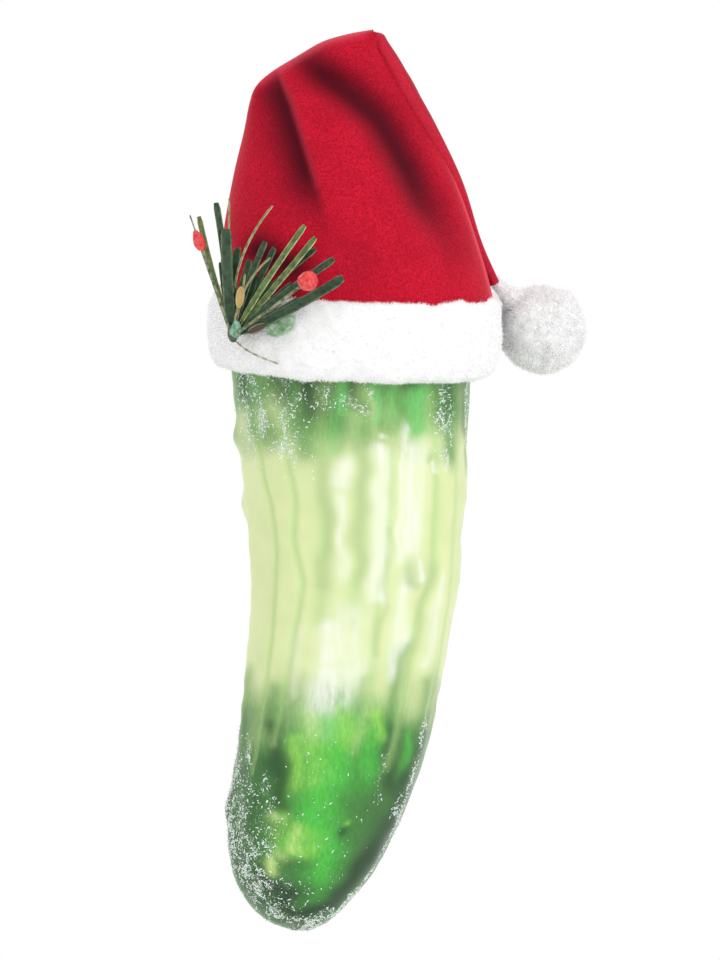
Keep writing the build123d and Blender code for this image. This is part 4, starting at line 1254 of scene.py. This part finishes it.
# %% Scales
# Scales as (name, middle, half width, half length, lean, (middle colour, edge colour))
SCALES = (
    ("bract_upper", (-17.6, -21.229, -40.9), 0.75, 1.9, 8, ((0.42, 0.29, 0.10), (0.66, 0.56, 0.32))),
    ("bract_lower", (-14.768, -23.229, -46.2), 0.75, 1.7, 66, ((0.045, 0.034, 0.022), (0.36, 0.31, 0.20))),
)
SCALE_WALL, SCALE_CUP, SCALE_ROWS, SCALE_END, HUSK_LIT, HUSK_STRETCH = 0.4, 0.35, 18, 0.97, 1.3, (1, 1, 0.25)
out = -BACKWARDS
for name, place, half_width, half_length, lean, (brown, edge) in SCALES:
    husk = finish(f"{name}_husk", brown, 0.7)
    grain = noise(husk, 0.6, 2.0, HUSK_STRETCH)
    skin = blended(husk, ranged(husk, grain, 0.35, 0.65), brown, toned(brown, HUSK_LIT))
    coloured(husk, blended(husk, ranged(husk, mask(husk, "edge"), 0.5, 1.0), skin, edge))
    bumped(husk, grain, 0.1, 0.7)
    t = np.linspace(-SCALE_END, SCALE_END, SCALE_ROWS)[:, None]
    along = vec((math.sin(math.radians(lean)), 0, math.cos(math.radians(lean))))
    beside = np.cross(out, along)
    half = half_width * np.sqrt(1 - t**2)
    lift = FACE * SCALE_WALL / 2 + SCALE_CUP * (1 - ACROSS**2) * (1 - t**2) - SCALE_CUP / 2
    line = vec(place) + along * (half_length * t)
    rings = line[:, None, :] + beside * (half * ACROSS)[..., None] + out * lift[..., None]
    scale = tube_from(f"husk_{name}", rings, husk)
    mark(scale, "edge", np.repeat(np.abs(ACROSS)[None, :], SCALE_ROWS, 0))
    placed(scale, name)
print("scales", len(SCALES))

# %% [markdown]
# A dab of dyed glue and a wrap of tape hold the foot together. Both are small lumpy bodies: a ball drawn
# out to its three half sizes, with a swell on it.

# %% Dab and binding
BLOB_ROWS, BLOB_AROUND, BLOB_WAVE = 26, 40, 1.3
UPRIGHT, TAPE_STRETCH, TAPE_LINES = np.eye(3), (1, 1, 3), (1, 1, 4)


def blob(name, node, material, centre, half_size, lumpy, seed, axes=UPRIGHT):
    """A small lumpy body in place of a node."""
    local = ball_ways(BLOB_ROWS, BLOB_AROUND) * vec(half_size)
    local *= (1 + lumps(local, (lumpy, BLOB_WAVE * max(half_size), seed)))[..., None]
    piece = tube_from(name, vec(centre) + local @ np.asarray(axes, float), material)
    placed(piece, node)
    return piece


dab_glue = finish("dyed_glue", (0.14, 0.34, 0.22), 0.5, Coat_Weight=0.1)
coloured(dab_glue, mottled(dab_glue, 0.7, (0.07, 0.20, 0.12), (0.30, 0.52, 0.38)))
blob("glue_dab", "sprig_dab", dab_glue, (-18.3, -20.2, -46.3), (1.05, 0.8, 1.5), 0.12, 71)
tape = finish("green_tape", (0.05, 0.09, 0.045), 0.6)
coloured(tape, mottled(tape, 1.0, (0.03, 0.06, 0.03), (0.12, 0.17, 0.09), stretch=TAPE_STRETCH))
bumped(tape, noise(tape, 0.5, 1.0, TAPE_LINES), 0.15, 0.8)
blob("taped_foot", "sprig_binding", tape, (-18.8, -18.4, -46.9), (0.95, 1.1, 1.6), 0.06, 72)
print("foot of the sprig: dab and tape")

# %% [markdown]
# A tuft of green fuzz is stuck to the band right of the foot. It is a flat pad that lies on the plush,
# turned a little, and the same pile tree as on the band grows its fibres.

# %% Moss
MOSS_CENTRE, MOSS_OUT, MOSS_TURN = vec((-10.8, -23.2, -45.8)), vec((-0.484, -0.872, -0.07)), math.radians(28)
MOSS_HALF, MOSS_LUMPY, MOSS_SEED = (2.9, 1.35, 0.75), 0.14, 73
MOSS_PILE = dict(density=40.0, length=0.65, thickness=0.045, lean=1.0, seed=13)
moss_side = unit(np.cross(BAND_Z, MOSS_OUT))
moss_up = np.cross(MOSS_OUT, moss_side)
moss_axes = (math.cos(MOSS_TURN) * moss_side + math.sin(MOSS_TURN) * moss_up,
             math.cos(MOSS_TURN) * moss_up - math.sin(MOSS_TURN) * moss_side, MOSS_OUT)
fuzz = finish("green_fuzz", (0.30, 0.50, 0.30), 0.9, Sheen_Weight=0.2)
coloured(fuzz, mottled(fuzz, 1.3, (0.22, 0.42, 0.20), (0.70, 0.82, 0.68)))
moss = blob("moss_pad", "moss_tuft", fuzz,
            MOSS_CENTRE, MOSS_HALF, MOSS_LUMPY, MOSS_SEED, moss_axes)
mark(moss, "pile", np.ones((BLOB_ROWS, BLOB_AROUND)))
placed(grown(moss, pile, "moss_pile", fuzz, **MOSS_PILE))
print("moss", 2 * MOSS_HALF[0], "mm long")

# %% [markdown]
# The loose end of the binding wire is two thin strands twisted together. Each strand is a round tube on a
# line that winds round the route, half a turn from the other one.

# %% Loose wire
WIRE_ROUTE = ((-18.5, -17.6, -48.2), (-16.6, -18.3, -49.7), (-14.782, -19.6, -50.701),
              (-13.1, -20.9, -51.4), (-11.195, -22.0, -52.116))
STRAND_RADIUS, STRAND_APART, ROUTE_STEPS, TWIST = 0.09, 0.1, 12, 5 * np.pi
bare_wire = finish("brown_wire", (0.46, 0.42, 0.32), 0.45, Specular_IOR_Level=0.4)
coloured(bare_wire, mottled(bare_wire, 0.6, (0.30, 0.26, 0.17), (0.62, 0.58, 0.46),
                            detail=1.0, low=0.4, high=0.6))
route = curve_through(WIRE_ROUTE, ROUTE_STEPS)
route_way = unit(np.gradient(route, axis=0))
first_side = unit(np.cross(route_way, BAND_Z))
second_side = np.cross(route_way, first_side)
for strand, phase in enumerate((0.0, np.pi), start=1):
    twist = np.linspace(0, TWIST, len(route))[:, None] + phase
    strand_line = route + (np.cos(twist) * first_side + np.sin(twist) * second_side) * STRAND_APART
    strand_rings = hose(strand_line, STRAND_RADIUS, first_side, second_side, WIRE_SIDES)
    placed(tube_from(f"wire_strand_{strand}", strand_rings, bare_wire), "wire_tail")
print("loose wire strands", strand)

# %% [markdown]
# Cap, hanger wire, glue bead and thread are right as they come from CAD. They only need their finishes:
# pressed bright sheet, drawn wire with fine lines along it, milky glue and white thread.

# %% Finishes of the hidden pieces
CROSSWISE, DRAWN, TWISTED = (1, 1, 6), (1, 1, 0.1), (1, 1, 4)


def refinished(node, material):
    """A CAD node that stays as it is, in a better finish."""
    nodes[node].data.materials.clear()
    nodes[node].data.materials.append(material)


cap_metal = finish("pressed_cap", (0.72, 0.72, 0.74), 0.28, Metallic=1.0)
bumped(cap_metal, noise(cap_metal, 0.5, 2.0, CROSSWISE), 0.05, 0.4)
hanger = finish("drawn_wire", (0.56, 0.56, 0.58), 0.3, Metallic=1.0)
bumped(hanger, noise(hanger, 0.2, 2.0, DRAWN), 0.03, 0.4)
milky = finish("milky_glue", (0.76, 0.74, 0.66), 0.4, Subsurface_Weight=0.2, Subsurface_Scale=0.001)
bumped(milky, noise(milky, 1.5, 2.0), 0.2, 0.5)
thread = finish("white_thread", (0.82, 0.82, 0.80), 0.8)
bumped(thread, noise(thread, 0.25, 1.0, TWISTED), 0.1, 0.8)
hidden = {"ornament_cap": cap_metal, "hanger_wire": hanger, "glue_bead": milky, "pompom_tie": thread}
for node, material in hidden.items():
    refinished(node, material)
print("kept from CAD:", ", ".join(hidden))

# %% [markdown]
# A plain pale floor lies a little below the tip. It is white to the camera, but only in part, so that the
# soft shadow under the ornament still shows when it is seen from above.

# %% Floor
FLOOR_DROP, FLOOR_REACH, FLOOR_SIDES, FLOOR_SHINE = 190.0, 1600.0, 96, 0.45
pale = finish("pale_floor", (0.85, 0.85, 0.85), 0.9)
shader_of(pale).inputs["Emission Color"].default_value = (1, 1, 1, 1)
shine = times(pale, seen_directly(pale.node_tree), FLOOR_SHINE)
wire(pale, shine, shader_of(pale).inputs["Emission Strength"])
round_floor = full_turn(FLOOR_SIDES)
floor_points = np.stack([FLOOR_REACH * np.cos(round_floor), FLOOR_REACH * np.sin(round_floor),
                         np.full(FLOOR_SIDES, -FLOOR_DROP)], axis=-1)
floor = piece_from("floor", floor_points, [tuple(range(FLOOR_SIDES))], pale)
floor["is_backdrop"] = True
print("floor", FLOOR_DROP, "mm below the eye")

# %% [markdown]
# Last, both boxes are written down, so that the dressed ornament can be compared with the CAD model.

# %% Sizes
seen_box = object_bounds()
for label, (low, high) in (("cad", cad_box), ("seen", seen_box)):
    print(label, [round((b - a) / MM, 1) for a, b in zip(low, high)], "mm")
